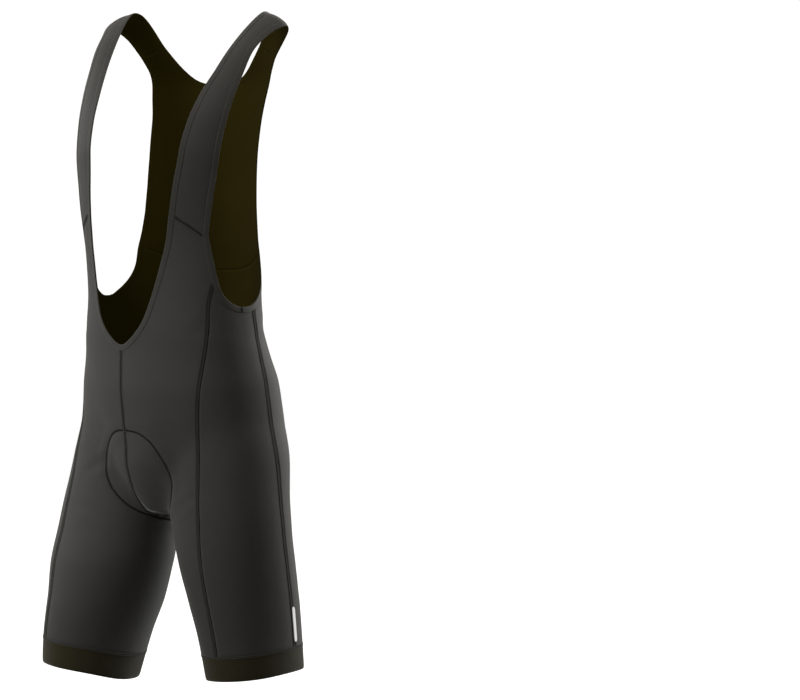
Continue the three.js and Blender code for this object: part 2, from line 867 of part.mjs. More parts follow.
function placeCloth(name, surface, wall = clothWall, material = cloth) {
  place(name, surface.inset(seamGap / 2).solid(0, -wall), material);
}

const backBib = makeBackBib();
const neckParts = {};
const armholes = {};
const pieces = [["back_bib", backBib.surface]];
for (const side of ["left", "right"]) {
  const main = makeMainPanel(side);
  const sideFront = makeSideFront(side);
  const sideBack = makeSideBack(side);
  const shoulder = makeStrap(
    side,
    edgeStops(main.surface, main.top),
    edgeStops(backBib.surface, backBib.shoulder[side]),
  );
  neckParts[side] = {
    front: edgeStops(main.surface, main.neckEdge),
    strap: edgeStops(shoulder.surface, shoulder.neckEdge),
  };
  armholes[side] = chain([
    edgeStops(shoulder.surface, shoulder.armholeEdge),
    edgeStops(backBib.surface, backBib.armholeEdge[side]),
    edgeStops(sideBack.surface, [...sideBack.armholeEdge].reverse()),
    edgeStops(sideFront.surface, [...sideFront.armholeEdge].reverse()),
    edgeStops(main.surface, [...main.armholeEdge].reverse()),
  ]);
  pieces.push(
    [`main_panel_${side}`, main.surface],
    [`side_front_${side}`, sideFront.surface],
    [`side_back_${side}`, sideBack.surface],
    [`strap_${side}`, shoulder.surface],
  );
}
const neckStops = chain([
  [...neckParts.left.front].reverse(),
  neckParts.left.strap,
  edgeStops(backBib.surface, [...backBib.scoopEdge].reverse()),
  [...neckParts.right.strap].reverse(),
  neckParts.right.front,
]);

place("neck_binding", makeBinding(neckStops, 1), trimCloth);
place("armhole_binding_left", makeBinding(armholes.left, -1), trimCloth);
place("armhole_binding_right", makeBinding(armholes.right, 1), trimCloth);
pieces.forEach(([name, surface]) => placeCloth(name, surface));
for (const side of ["left", "right"]) {
  placeCloth(`hem_band_${side}`, makeBand(side), bandWall, bandCloth);
  place(`reflective_tab_${side}`, makeTab(side).solid(seamGap + tabWall, seamGap), reflective);
}

export default garment;
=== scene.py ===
"""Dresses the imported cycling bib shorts: fine knitted panels, bindings, flat seams, stitches and hem bands.

Every shape is worked out in millimetres on the same figure as the solids (an oval trunk and two oval legs
joined by a fillet) and written in metres. Angles go round one half from its own leg's axis: 0 is the front,
90 the outer side and 180 the back.
"""

from __future__ import annotations

import logging
import math
from dataclasses import dataclass, field
from enum import Enum
from typing import Callable, Sequence

import bpy
import numpy as np
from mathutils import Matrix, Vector

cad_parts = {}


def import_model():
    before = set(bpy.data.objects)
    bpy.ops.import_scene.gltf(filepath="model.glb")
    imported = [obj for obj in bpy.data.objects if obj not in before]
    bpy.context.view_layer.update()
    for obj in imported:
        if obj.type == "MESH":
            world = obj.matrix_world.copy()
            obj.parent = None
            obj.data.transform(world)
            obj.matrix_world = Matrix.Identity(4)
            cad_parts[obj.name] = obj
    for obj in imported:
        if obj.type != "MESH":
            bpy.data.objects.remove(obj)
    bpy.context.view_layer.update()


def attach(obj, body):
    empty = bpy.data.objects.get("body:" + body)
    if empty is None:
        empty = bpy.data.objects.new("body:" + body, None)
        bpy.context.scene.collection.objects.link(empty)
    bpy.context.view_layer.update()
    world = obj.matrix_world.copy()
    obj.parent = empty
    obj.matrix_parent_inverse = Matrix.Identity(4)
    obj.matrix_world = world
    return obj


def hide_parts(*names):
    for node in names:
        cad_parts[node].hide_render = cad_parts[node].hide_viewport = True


log = logging.getLogger("bib_shorts")
Array = np.ndarray

# Millimetres in metres, and how many rows and columns stand for one of the solids' own.
METRES = 0.001
DETAIL = 5

# Sizes in millimetres, and the height under which a folded strip's face counts as its inner side.
WALL = 1.4
BAND_WALL = 1.8
TAB_WALL = 0.7
BAND_HEIGHT = 34
BINDING_WIDTH = 7
INNER_FACE = -0.6

# Places on the figure: the outer seam's top, the scoop's end and the inner leg's line at the hem.
OUTER_TOP_LEVEL = -412
SCOOP_END = 86
INNER_HEM_ANGLE = -84

# Samples of an edge before it is divided evenly, and the columns and rows of the grids.
FINE = 400
FRONT_COLUMNS = 7 * DETAIL
SIDE_COLUMNS = 6 * DETAIL
SEAT_COLUMNS = 6 * DETAIL
WAIST_COLUMNS = 3 * DETAIL
SHOULDER_COLUMNS = 3 * DETAIL
BODY_ROWS = 26 * DETAIL
INNER_ROWS = 8 * DETAIL
NECK_ROWS = 10 * DETAIL
BIB_FRONT_ROWS = 4 * DETAIL
BIB_BACK_ROWS = 14 * DETAIL
STRAP_ROWS = 22 * DETAIL
STRAP_BLEND_ROWS = 7 * DETAIL
BAND_ROWS = 12


class Side(Enum):
    """The wearer's left or right half; the value is the sign of X."""

    LEFT = 1
    RIGHT = -1

    @property
    def word(self) -> str:
        """The side as it stands in node names."""
        return self.name.lower()


class SmoothTable:
    """A short table with named columns. Its first column is the place; at() reads it smoothly."""

    def __init__(self, names: str, rows: Sequence[Sequence[float]]) -> None:
        """Keeps the rows in rising order of place.

        Args:
            names: the columns' names, parted by spaces.
            rows: the rows, rising or falling in their first column.
        """
        data = np.array(rows, float)
        self.first, self.last = float(data[0, 0]), float(data[-1, 0])
        self.keys = names.split()
        self.data = data if self.first < self.last else data[::-1]
        self.slopes = self._slopes()

    def _slopes(self) -> Array:
        """Slopes by harmonic means of neighbouring steps, and zero at a turn, so nothing overshoots."""
        steps = np.diff(self.data, axis=0) / np.diff(self.data[:, 0])[:, None]
        a, b = steps[:-1], steps[1:]
        total = np.where(a + b == 0, 1, a + b)
        inner = np.where(a * b > 0, 2 * a * b / total, 0)
        return np.vstack([steps[:1], inner, steps[-1:]])

    def at(self, name: str, where: Array | float) -> Array:
        """A column's value by a cubic through the rows.

        Args:
            name: the column.
            where: places, of any shape.

        Returns:
            The values, of the same shape.
        """
        k = self.keys.index(name)
        place = self.data[:, 0]
        w = np.clip(where, place[0], place[-1])
        i = np.clip(np.searchsorted(place, w, side="right") - 1, 0, len(place) - 2)
        h = place[i + 1] - place[i]
        t = (w - place[i]) / h
        a, b = self.data[i, k], self.data[i + 1, k]
        ma, mb = self.slopes[i, k] * h, self.slopes[i + 1, k] * h
        return a + t * (ma + t * (3 * (b - a) - 2 * ma - mb + t * (2 * (a - b) + ma + mb)))


TRUNK = SmoothTable("level halfWidth front back", [
    [-40, 175, 60, 100],
    [-70, 165, 70, 105],
    [-100, 150, 80, 111],
    [-130, 144, 92, 104],
    [-160, 141, 102, 97],
    [-200, 136, 116, 91],
    [-240, 133, 117, 85],
    [-280, 132.5, 112, 80],
    [-320, 135, 104, 81],
    [-360, 138, 99, 87],
    [-400, 141, 97, 91],
    [-440, 146, 97.5, 92],
    [-480, 151, 96, 101],
    [-520, 154, 96.5, 115],
    [-560, 148, 93, 121],
    [-600, 126, 88, 126],
    [-625, 100, 87, 127],
    [-650, 74, 81, 100],
    [-670, 54, 73, 48],
    [-685, 38, 62, 14],
    [-698, 22, 46, -8],
    [-706, 8, 30, -22],
])

LEGS = SmoothTable("level leftX leftY leftWidth leftDepth rightX rightY rightWidth rightDepth", [
    [-40, 56, 0, 20, 20, 56, 0, 20, 20],
    [-280, 56, 0, 20, 20, 56, 0, 20, 20],
    [-400, 62, 0, 42, 42, 62, 0, 42, 42],
    [-440, 66, 5, 58, 60, 66, 5, 58, 60],
    [-480, 69, 9, 70, 74, 71, 9, 70, 74],
    [-520, 72, 12, 80, 84, 77, 12, 80, 84],
    [-570, 77, 19, 83, 86, 82, 9, 83, 86],
    [-620, 84, 22.7, 84.5, 85.5, 85.5, -1.6, 84.5, 85.5],
    [-670, 88.4, 22.5, 83.5, 82.4, 85.8, -18.7, 83.5, 82.4],
    [-720, 91.9, 26, 80, 81.2, 82, -36, 81, 84],
    [-770, 92.7, 34.5, 74.4, 81.9, 76.5, -52.5, 76, 89],
    [-820, 93.7, 45.4, 65.7, 81.2, 74, -65, 66, 88.5],
    [-870, 94.5, 55.6, 57.5, 78.8, 75.5, -79, 58, 83],
    [-940, 95.5, 66, 50, 76, 76, -93, 50, 73],
])

SEAMS = SmoothTable("level front outerLeft outerRight back", [
    [-330, 64, 112, 112, 165],
    [-380, 58.5, 111, 113, 168],
    [-445, 50.7, 108, 109, 168],
    [-499, 41.5, 108, 108, 164],
    [-545, 34, 108, 110, 167],
    [-600, 27, 106, 107, 178],
    [-640, 24, 108, 104, 182],
    [-706, 19, 112, 98, 181],
    [-773, 14.5, 117, 94, 179],
    [-827, 13, 123, 92, 178],
    [-892, 12, 128, 92, 177],
    [-940, 12, 129, 92, 177],
])

NECK_EDGE = SmoothTable("level across", [
    [-286.5, 76.6],
    [-320, 77],
    [-360, 73],
    [-401, 64.5],
    [-428, 55],
    [-449, 39],
    [-465, 19],
    [-470.5, 8],
    [-472, 0],
])

ARMHOLE_FRONT = SmoothTable("level angle", [
    [-313.5, 40.2],
    [-347, 49.5],
    [-365, 54.4],
    [-380, 58.5],
])

ARMHOLE_LOW = {
    Side.LEFT: SmoothTable("angle level", [
        [58.5, -380],
        [62, -391],
        [68, -402.5],
        [78, -413],
        [88, -418],
        [99, -418],
        [112, -412],
        [126, -399],
        [138, -379],
        [143.5, -360],
        [145.3, -341],
    ]),
    Side.RIGHT: SmoothTable("angle level", [
        [58.5, -380],
        [62, -391],
        [68, -401],
        [78, -408.5],
        [88, -408.5],
        [99, -401],
        [112, -387],
        [124, -364],
        [131, -334],
    ]),
}

BIB_SIDE = {
    Side.LEFT: SmoothTable("level across", [
        [-65, 106],
        [-90, 94.5],
        [-120, 89],
        [-160, 84],
        [-200, 82],
        [-240, 84],
        [-280, 89.5],
        [-320, 95],
        [-341, 101],
    ]),
    Side.RIGHT: SmoothTable("level across", [
        [-65, 106],
        [-90, 94.5],
        [-120, 89.5],
        [-160, 85],
        [-200, 85],
        [-240, 88],
        [-280, 95],
        [-300, 101.5],
        [-320, 109],
        [-334, 115],
    ]),
}

BIB_SCOOP = SmoothTable("across level", [
    [0, -113],
    [21, -111],
    [40, -104.5],
    [56.5, -91.5],
    [71.5, -74],
    [86, -55],
])

WAIST_SEAM = SmoothTable("across level", [
    [0, -365],
    [40, -363],
    [60, -359],
    [78, -353.5],
    [101, -341],
    [115, -334],
])

STRAP = SmoothTable("place neckX neckY neckZ armX armY armZ crown", [
    [0, 72, -99, -283, 117, -61, -317, 3],
    [45, 71, -103.5, -240, 116, -68, -262, 3.5],
    [90, 73, -102, -200, 117.5, -70, -214, 4],
    [132, 77, -89, -160, 121, -60, -165, 4],
    [175, 83, -64, -120, 125, -41, -120, 4],
    [215, 89.5, -39, -90, 128, -23, -90, 4],
    [254, 95, -12, -60, 131, -3, -60, 4],
    [294, 101, 17, -33, 137, 23, -39, 4],
    [324, 106, 43, -14, 145, 43, -28, 4],
    [343, 108, 62, -6, 149, 56, -24, 4],
    [360, 105, 77, -9, 145, 68, -29, 4],
    [381, 97, 88, -23, 132, 79, -42, 3.5],
    [420, 80, 96.3, -52, 112, 85, -68, 3],
])

PAD_LINE = SmoothTable("place leftAngle leftLevel rightAngle rightLevel", [
    [0, -34, -583, -36, -583],
    [1, -27, -585, -30, -588],
    [2, -19, -595, -25, -603],
    [3, -14.5, -612, -23.5, -622],
    [4, -14, -632, -26, -641],
    [5, -16, -655, -33, -659],
    [6, -22, -675, -44, -675],
    [7, -36, -695, -58, -690],
    [8, -60, -712, -80, -703],
    [9, -92, -719, -112, -711],
    [10, -126, -712, -147, -708],
    [11, -142, -707, -163, -697],
    [12, -157, -697, -172, -683],
    [13, -169, -684, -175, -666],
    [14, -177, -668, -174, -645],
    [15, -178, -652, -172, -624],
    [16, -172, -634, -166, -607],
    [17, -164, -618, -158, -597],
    [18, -156, -602, -152, -593],
    [19, -147, -592, -147, -590.5],
    [20, -144, -590.3, -144, -590.3],
])


@dataclass(frozen=True)
class Crease:
    """A soft crease on one half, between two places given as angle and level, with its depth and width."""

    side: Side
    start: tuple[float, float]
    end: tuple[float, float]
    depth: float
    width: float

    def path(self, count: int = 24) -> Array:
        """Points along the crease."""
        t = np.linspace(0, 1, count)
        angle, level = (mix(a, b, t) for a, b in zip(self.start, self.end))
        return FIGURE.on_body(self.side, angle, level)


CREASES = (
    Crease(Side.LEFT, (8, -640), (-24, -612), 0.9, 7),
    Crease(Side.RIGHT, (2, -646), (-30, -622), 0.9, 7),
    Crease(Side.LEFT, (20, -668), (-10, -690), 0.7, 6),
    Crease(Side.RIGHT, (14, -684), (-30, -700), 0.7, 6),
    Crease(Side.LEFT, (190, -668), (224, -690), 1.1, 7),
    Crease(Side.RIGHT, (188, -650), (222, -672), 1.1, 7),
    Crease(Side.LEFT, (120, -430), (150, -448), 0.8, 8),
    Crease(Side.RIGHT, (120, -426), (150, -446), 0.8, 8),
    Crease(Side.LEFT, (60, -420), (36, -452), 0.6, 9),
    Crease(Side.RIGHT, (60, -418), (36, -450), 0.6, 9),
    Crease(Side.LEFT, (170, -392), (205, -400), 0.8, 9),
    Crease(Side.RIGHT, (170, -390), (205, -402), 0.8, 9),
    Crease(Side.LEFT, (150, -806), (200, -816), 0.7, 8),
    Crease(Side.RIGHT, (150, -800), (196, -812), 0.7, 8),
    Crease(Side.LEFT, (96, -560), (60, -590), 0.5, 12),
    Crease(Side.RIGHT, (96, -560), (60, -588), 0.5, 12),
)


def smooth_step(x: Array, low: float, high: float) -> Array:
    """Rises from 0 at low to 1 at high by 3t squared minus 2t cubed."""
    t = np.clip((x - low) / (high - low), 0, 1)
    return t * t * (3 - 2 * t)


def mix(a: Array | float, b: Array | float, t: Array | float) -> Array | float:
    """The value a share t of the way from a to b."""
    return a + (b - a) * t


def unit(v: Array) -> Array:
    """Vectors brought to length 1 along their last axis."""
    return v / np.maximum(np.linalg.norm(v, axis=-1, keepdims=True), 1e-12)


def outside_oval(dx: Array, dy: Array, half_width: Array, half_depth: Array, power: float) -> Array:
    """How far a point lies outside a superellipse along the ray from its middle.

    The superellipse is |x/a|^p + |y/b|^p = 1, so the ray meets it at distance / sum^(1/p).

    Args:
        dx: distances across from the middle.
        dy: distances along from the middle.
        half_width: a, in mm.
        half_depth: b, in mm.
        power: p.

    Returns:
        Distances in mm, negative inside.
    """
    distance = np.hypot(dx, dy) + 1e-9
    scaled = (np.abs(dx) / half_width) ** power + (np.abs(dy) / half_depth) ** power
    return distance - distance / np.maximum(scaled, 1e-12) ** (1 / power)


@dataclass
class Figure:
    """The form that the worn cloth lies on."""

    trunk_power: float = 2.3
    leg_power: float = 2.15
    fillet: float = 16
    crotch: float = -706
    trunk_middle: float = -450
    twist: float = math.radians(18)
    twist_start: float = -430
    twist_end: float = -190
    reach: float = 260
    coarse: int = 40
    fine: int = 22

    def sizes(self, z: Array) -> dict[str, Array]:
        """Every section size at the given levels."""
        sizes = {key: TRUNK.at(key, z) for key in TRUNK.keys[1:]}
        sizes.update({key: LEGS.at(key, z) for key in LEGS.keys[1:]})
        return sizes

    def value(self, x: Array, y: Array, z: Array, sizes: dict[str, Array] | None = None) -> Array:
        """The least of the distances to trunk and legs, less a fillet where they are close.

        Args:
            x: distances across, before the twist.
            y: distances along.
            z: levels.
            sizes: the section sizes at those levels, if they are known.

        Returns:
            Values below 0 inside and 0 on the cloth.
        """
        s = sizes or self.sizes(z)
        legs = [
            outside_oval(x - side.value * s[side.word + "X"], y - s[side.word + "Y"],
                         s[side.word + "Width"], s[side.word + "Depth"], self.leg_power)
            for side in Side
        ]
        leg = np.minimum(*legs)
        low = z < self.trunk_middle
        middle = np.where(low, (s["back"] - s["front"]) / 2, 0)
        depth = np.where(low, (s["back"] + s["front"]) / 2, np.where(y < 0, s["front"], s["back"]))
        body = outside_oval(x, y - middle, s["halfWidth"], depth, self.trunk_power)
        near = np.maximum(self.fillet - np.abs(leg - body), 0) / self.fillet
        joined = np.minimum(leg, body) - near * near * self.fillet / 4
        return np.where(z < self.crotch, leg, joined)

    def turned(self, points: Array, way: int = 1) -> Array:
        """Turns points about Z by the twist of their level; way -1 undoes it."""
        angle = way * self.twist * smooth_step(points[..., 2], self.twist_start, self.twist_end)
        c, s = np.cos(angle), np.sin(angle)
        x, y = points[..., 0], points[..., 1]
        return np.stack([x * c - y * s, x * s + y * c, points[..., 2]], -1)

    def normals(self, points: Array) -> Array:
        """Outward directions, from differences of value() over a millimetre along each axis."""
        slopes = []
        for axis in range(3):
            step = np.zeros(3)
            step[axis] = 0.5
            ends = [self.turned(points + way * step, -1) for way in (1, -1)]
            one, two = [self.value(p[..., 0], p[..., 1], p[..., 2]) for p in ends]
            slopes.append(one - two)
        return unit(np.stack(slopes, -1))

    def cross(self, value_at: Callable[[Array], Array], far: Array) -> Array:
        """The first distance at which value_at turns positive, by even steps and then by halving.

        Args:
            value_at: gives the value at each distance.
            far: the greatest distance for each ray.

        Returns:
            Distances, of far's shape.
        """
        low, high = np.zeros_like(far), far.copy()
        found = np.zeros(far.shape, bool)
        for i in range(1, self.coarse + 1):
            reach = far * i / self.coarse
            outside = (value_at(reach) > 0) & ~found
            high = np.where(outside, reach, high)
            found |= outside
            low = np.where(found, low, reach)
        low = np.where(found, low, high)
        for _ in range(self.fine):
            half = (low + high) / 2
            outside = value_at(half) > 0
            high, low = np.where(outside, half, high), np.where(outside, low, half)
        return (low + high) / 2

    def on_body(self, side: Side, angle: Array, level: Array) -> Array:
        """Points on one half: a ray from the leg's axis, stopped at the middle plane.

        Args:
            side: the half.
            angle: degrees, of any shape.
            level: heights in mm, of the same shape.

        Returns:
            Points with a last axis of 3, in mm.
        """
        angle, level = np.broadcast_arrays(np.asarray(angle, float), np.asarray(level, float))
        s = self.sizes(level)
        mx, my = s[side.word + "X"], s[side.word + "Y"]
        across, along = np.sin(np.radians(angle)), -np.cos(np.radians(angle))
        inward = across < -1e-6
        far = np.where(inward, np.minimum(self.reach, -mx / np.where(inward, across, 1)), self.reach)
        reach = self.cross(
            lambda r: self.value(side.value * (mx + r * across), my + r * along, level, s), far)
        x = np.maximum(mx + reach * across, 0) * side.value
        return self.turned(np.stack([x, my + reach * along, level], -1))

    def on_back(self, across: Array, level: Array) -> Array:
        """Points on the trunk's back at a signed distance across and a level."""
        share = 1 - np.minimum(np.abs(across) / TRUNK.at("halfWidth", level), 0.999) ** self.trunk_power
        y = TRUNK.at("back", level) * share ** (1 / self.trunk_power)
        return self.turned(np.stack([across, y, level], -1))

    def angle_to(self, side: Side, x: Array, y: Array, level: Array) -> Array:
        """The angle at a leg's axis of a place given by its distance across and its depth."""
        across, ahead = x - LEGS.at(side.word + "X", level), LEGS.at(side.word + "Y", level) - y
        return np.degrees(np.arctan2(across, ahead))

    def middle_y(self, level: Array, way: int) -> Array:
        """The depth of the middle seam: way is -1 at the front and 1 at the back."""
        start = (TRUNK.at("back", level) - TRUNK.at("front", level)) / 2
        far = np.full(np.shape(level), 220.0)
        return start + way * self.cross(lambda r: self.value(np.zeros_like(r), start + way * r, level), far)


FIGURE = Figure()


@dataclass(frozen=True)
class Hem:
    """A leg's lower edge: its middle level, and how much higher its front and outer side are."""

    level: float
    front_rise: float
    outer_rise: float

    def edge(self, angle: Array) -> Array:
        """The lower edge's level at an angle."""
        turn = np.radians(angle)
        return self.level + self.front_rise * np.cos(turn) + self.outer_rise * np.sin(turn)


HEMS = {Side.LEFT: Hem(-923, -6, 1), Side.RIGHT: Hem(-918, 9, 11)}
INWARD = {Side.LEFT: -61, Side.RIGHT: -91}
OUTER_SEAM = {Side.LEFT: "outerLeft", Side.RIGHT: "outerRight"}


@dataclass
class Cloth:
    """A grid of points with outward directions and its own flat coordinates, all in mm."""

    points: Array
    normals: Array
    flat: Array = field(init=False)

    def __post_init__(self) -> None:
        """Flat coordinates are lengths along the rows and down the middle column."""
        steps = np.linalg.norm(np.diff(self.points, axis=1), axis=-1)
        u = np.concatenate([np.zeros((len(steps), 1)), np.cumsum(steps, 1)], 1)
        middle = self.points.shape[1] // 2
        down = np.linalg.norm(np.diff(self.points[:, middle], axis=0), axis=-1)
        v = np.concatenate([[0], np.cumsum(down)])
        self.flat = np.stack([u - u[:, -1:] / 2, np.broadcast_to(-v[:, None], u.shape)], -1)

    def row(self, i: int, part: slice = slice(None)) -> "Line":
        """One row as a line."""
        return Line(self.points[i, part], self.normals[i, part])

    def column(self, j: int, part: slice = slice(None)) -> "Line":
        """One column as a line."""
        return Line(self.points[part, j], self.normals[part, j])


@dataclass
class Line:
    """Points in order with the cloth's outward directions at them."""

    points: Array
    normals: Array

    def reversed(self) -> "Line":
        """The same line from its other end."""
        return Line(self.points[::-1], self.normals[::-1])

    def then(self, *others: "Line") -> "Line":
        """This line and the others after it."""
        lines = (self, *others)
        return Line(np.concatenate([line.points for line in lines]),
                    np.concatenate([line.normals for line in lines]))

    def even(self, pitch: float, closed: bool = False, passes: int = 6) -> "Line":
        """The line with equal steps, softened by averaging each point with its neighbours.

        Args:
            pitch: the wanted step in mm.
            closed: whether the end meets the start.
            passes: rounds of averaging.

        Returns:
            A new line. A closed one doesn't repeat its first point.
        """
        points, normals = self.points, self.normals
        if closed:
            points, normals = np.vstack([points, points[:1]]), np.vstack([normals, normals[:1]])
        steps = np.linalg.norm(np.diff(points, axis=0), axis=1)
        keep = np.concatenate([[True], steps > 1e-6])
        points, normals = points[keep], normals[keep]
        place = np.concatenate([[0], np.cumsum(np.linalg.norm(np.diff(points, axis=0), axis=1))])
        count = max(int(round(place[-1] / pitch)), 4)
        wanted = np.linspace(0, place[-1], count + 1)[:count if closed else None]
        both = np.stack([np.interp(wanted, place, column) for column in np.hstack([points, normals]).T], 1)
        for _ in range(passes):
            before, after = np.roll(both, 1, 0), np.roll(both, -1, 0)
            soft = (before + 2 * both + after) / 4
            if not closed:
                soft[0], soft[-1] = both[0], both[-1]
            both = soft
        return Line(both[:, :3], unit(both[:, 3:]))

    def tangents(self, closed: bool = False) -> Array:
        """Directions along the line by central differences."""
        if closed:
            return unit(np.roll(self.points, -1, 0) - np.roll(self.points, 1, 0))
        return unit(np.gradient(self.points, axis=0))


@dataclass
class Relief:
    """The small rises and troughs of the cloth: the pad's sewn outline and the soft creases."""

    trough: float = 0.7
    trough_width: float = 3.4
    rim: float = 0.5
    rim_place: float = 9
    rim_width: float = 6
    nearness: float = 45
    crease_reach: float = 3
    crease_bank: float = 0.45
    crease_fade: float = 0.7

    def __post_init__(self) -> None:
        """Keeps the pad's outline and the creases' paths."""
        self.outline = self.pad_loop()
        self.paths = [crease.path() for crease in CREASES]

    def pad_path(self, side: Side, count: int = 240) -> Line:
        """One half of the pad's sewn outline, from the front over the inner thigh to the back."""
        place = np.linspace(PAD_LINE.first, PAD_LINE.last, count)
        angle = PAD_LINE.at(side.word + "Angle", place)
        level = PAD_LINE.at(side.word + "Level", place)
        points = FIGURE.on_body(side, angle, level)
        points[[0, -1], 0] = 0
        return Line(points, FIGURE.normals(points))

    def pad_loop(self) -> Line:
        """The whole outline, down the left half and back along the right one."""
        left, right = self.pad_path(Side.LEFT), self.pad_path(Side.RIGHT)
        return left.then(Line(right.points[-2:0:-1], right.normals[-2:0:-1])).even(2, closed=True)

    def height(self, points: Array) -> Array:
        """Rise along the outward direction at each point.

        The outline is a Gaussian trough with a softer rim beside it. A crease is a Gaussian trough across
        its path with a low bank beside it, faded toward both ends by a sine.

        Args:
            points: places on the figure, of any shape with a last axis of 3.

        Returns:
            Heights in mm, of the same shape without the last axis.
        """
        flat = points.reshape(-1, 3)
        rise = np.zeros(len(flat))
        low, high = self.outline.points.min(0) - self.nearness, self.outline.points.max(0) + self.nearness
        near = np.all((flat > low) & (flat < high), axis=1)
        if near.any():
            d = self.nearest(flat[near], self.outline.points)[0]
            trough = -self.trough * np.exp(-((d / self.trough_width) ** 2))
            rise[near] += trough + self.rim * np.exp(-(((d - self.rim_place) / self.rim_width) ** 2))
        for crease, path in zip(CREASES, self.paths):
            width = crease.width
            reach = self.crease_reach * width
            near = np.all((flat > path.min(0) - reach) & (flat < path.max(0) + reach), axis=1)
            if near.any():
                d, i = self.nearest(flat[near], path)
                fade = np.sin(np.pi * np.clip(i / (len(path) - 1), 0.02, 0.98)) ** self.crease_fade
                bank = self.crease_bank * np.exp(-(((d - 2 * width) / width) ** 2))
                rise[near] -= crease.depth * fade * (np.exp(-((d / width) ** 2)) - bank)
        return rise.reshape(points.shape[:-1])

    @staticmethod
    def nearest(points: Array, path: Array) -> tuple[Array, Array]:
        """Each point's distance to the nearest point of a path, and that point's number."""
        square = ((points[:, None, :] - path[None]) ** 2).sum(-1)
        return np.sqrt(square.min(1)), square.argmin(1)


RELIEF = Relief()


class Placing:
    """Works out angles and levels for the panels' edges, in the same way as the solids."""

    TOP_FADE = 7
    HEM_FADE = 10

    def __init__(self, side: Side) -> None:
        """Keeps the side and its hem."""
        self.side = side
        self.hem = HEMS[side]

    def band_top(self, angle: Array) -> Array:
        """The level where the panels end and the hem band starts."""
        return self.hem.edge(angle) + BAND_HEIGHT

    def across(self, angle: Array, level: Array) -> Array:
        """The distance from the middle plane, before the twist, of a place on the figure."""
        return np.abs(FIGURE.turned(FIGURE.on_body(self.side, angle, level), -1)[..., 0])

    def waist_level(self, angle: Array) -> Array:
        """The waist seam's level at an angle, by going back and forth between level and distance across."""
        level = np.full(np.shape(angle), float(WAIST_SEAM.at("level", 60)))
        for _ in range(6):
            level = WAIST_SEAM.at("level", self.across(angle, level))
        return level

    def back_top(self) -> float:
        """The level where the back seam meets the waist seam."""
        return float(self.waist_level(SEAMS.at("back", WAIST_SEAM.at("level", 78))))

    def outer_top(self) -> float:
        """The level where the outer seam meets the armhole."""
        angle = SEAMS.at(OUTER_SEAM[self.side], OUTER_TOP_LEVEL)
        return float(ARMHOLE_LOW[self.side].at("level", angle))

    def middle_angle(self, level: Array, way: int) -> Array:
        """The middle seam's angle, and below the crotch the inner leg's line."""
        start = INWARD[self.side]
        t = (level - FIGURE.crotch) / (self.hem.level - FIGURE.crotch)
        below = mix(start, INNER_HEM_ANGLE, t)
        above = FIGURE.angle_to(self.side, 0, FIGURE.middle_y(level, way), level)
        return np.where(level <= FIGURE.crotch, below, above) + (360 if way > 0 else 0)

    def evenly(self, angle: Array, level: Array, count: int) -> Array:
        """Places at equal distances along a finely sampled path on the figure.

        Args:
            angle: the path's angles.
            level: the path's levels.
            count: how many steps are wanted.

        Returns:
            An array of count + 1 rows of angle and level.
        """
        points = FIGURE.on_body(self.side, angle, level)
        place = np.concatenate([[0], np.cumsum(np.linalg.norm(np.diff(points, axis=0), axis=1))])
        wanted = np.linspace(0, place[-1], count + 1)
        return np.stack([np.interp(wanted, place, angle), np.interp(wanted, place, level)], 1)

    def seam(self, name: str, top: float, count: int) -> Array:
        """Places down a seam from a level to the hem band, whose top depends on the seam's own angle there.

        Args:
            name: the seam's column.
            top: the level where it starts.
            count: how many steps are wanted.

        Returns:
            An array of count + 1 rows of angle and level.
        """
        bottom = float(self.band_top(SEAMS.at(name, self.hem.level + BAND_HEIGHT)))
        bottom = float(self.band_top(SEAMS.at(name, bottom)))
        level = np.linspace(top, bottom, FINE)
        return self.evenly(SEAMS.at(name, level), level, count)

    def middle(self, top: float, way: int, count: int) -> Array:
        """Places down the middle seam from a level to the crotch."""
        t = np.linspace(0, 1, FINE)
        level = mix(top, FIGURE.crotch, 1 - (1 - t) ** 2)
        return self.evenly(self.middle_angle(np.maximum(level, FIGURE.crotch + 0.02), way), level, count)

    def inner(self, way: int, count: int) -> Array:
        """Places down the inner leg, where the panel runs through."""
        angle = INNER_HEM_ANGLE + (360 if way > 0 else 0)
        level = np.linspace(FIGURE.crotch, float(self.band_top(angle)), FINE)
        return self.evenly(self.middle_angle(level - 0.01, way), level, count)

    def neck(self, count: int) -> Array:
        """Places along the neck edge of the front, from the strap seam to the middle."""
        level = np.linspace(NECK_EDGE.first, NECK_EDGE.last + 0.01, FINE)
        across = NECK_EDGE.at("across", level)
        share = 1 - (across / TRUNK.at("halfWidth", level)) ** FIGURE.trunk_power
        y = -TRUNK.at("front", level) * share ** (1 / FIGURE.trunk_power)
        return self.evenly(FIGURE.angle_to(self.side, across, y, level), level, count)

    def armhole_front(self, count: int) -> Array:
        """Places along the armhole edge of the front panel."""
        level = np.linspace(ARMHOLE_FRONT.first, ARMHOLE_FRONT.last, FINE)
        return self.evenly(ARMHOLE_FRONT.at("angle", level), level, count)

    def between(self, first: Array, second: Array, columns: int,
                top: Callable[[Array], Array] | None) -> Array:
        """Places between two edges of equal count; the first and last rows follow their own curves.

        Args:
            first: places of one edge.
            second: places of the other edge.
            columns: steps between them.
            top: the first row's level at an angle, or None for a straight one.

        Returns:
            An array of rows, columns and angle with level.
        """
        t = np.linspace(0, 1, columns + 1)[None, :, None]
        places = mix(first[:, None], second[:, None], t)
        rows = len(first) - 1
        i = np.arange(rows + 1)[:, None] / DETAIL
        if top is not None:
            rise = top(places[0, :, 0]) - places[0, :, 1]
            places[..., 1] += rise * np.maximum(1 - i / self.TOP_FADE, 0) ** 2
        drop = self.band_top(places[-1, :, 0]) - places[-1, :, 1]
        places[..., 1] += drop * np.maximum(1 - (rows / DETAIL - i) / self.HEM_FADE, 0)
        return places

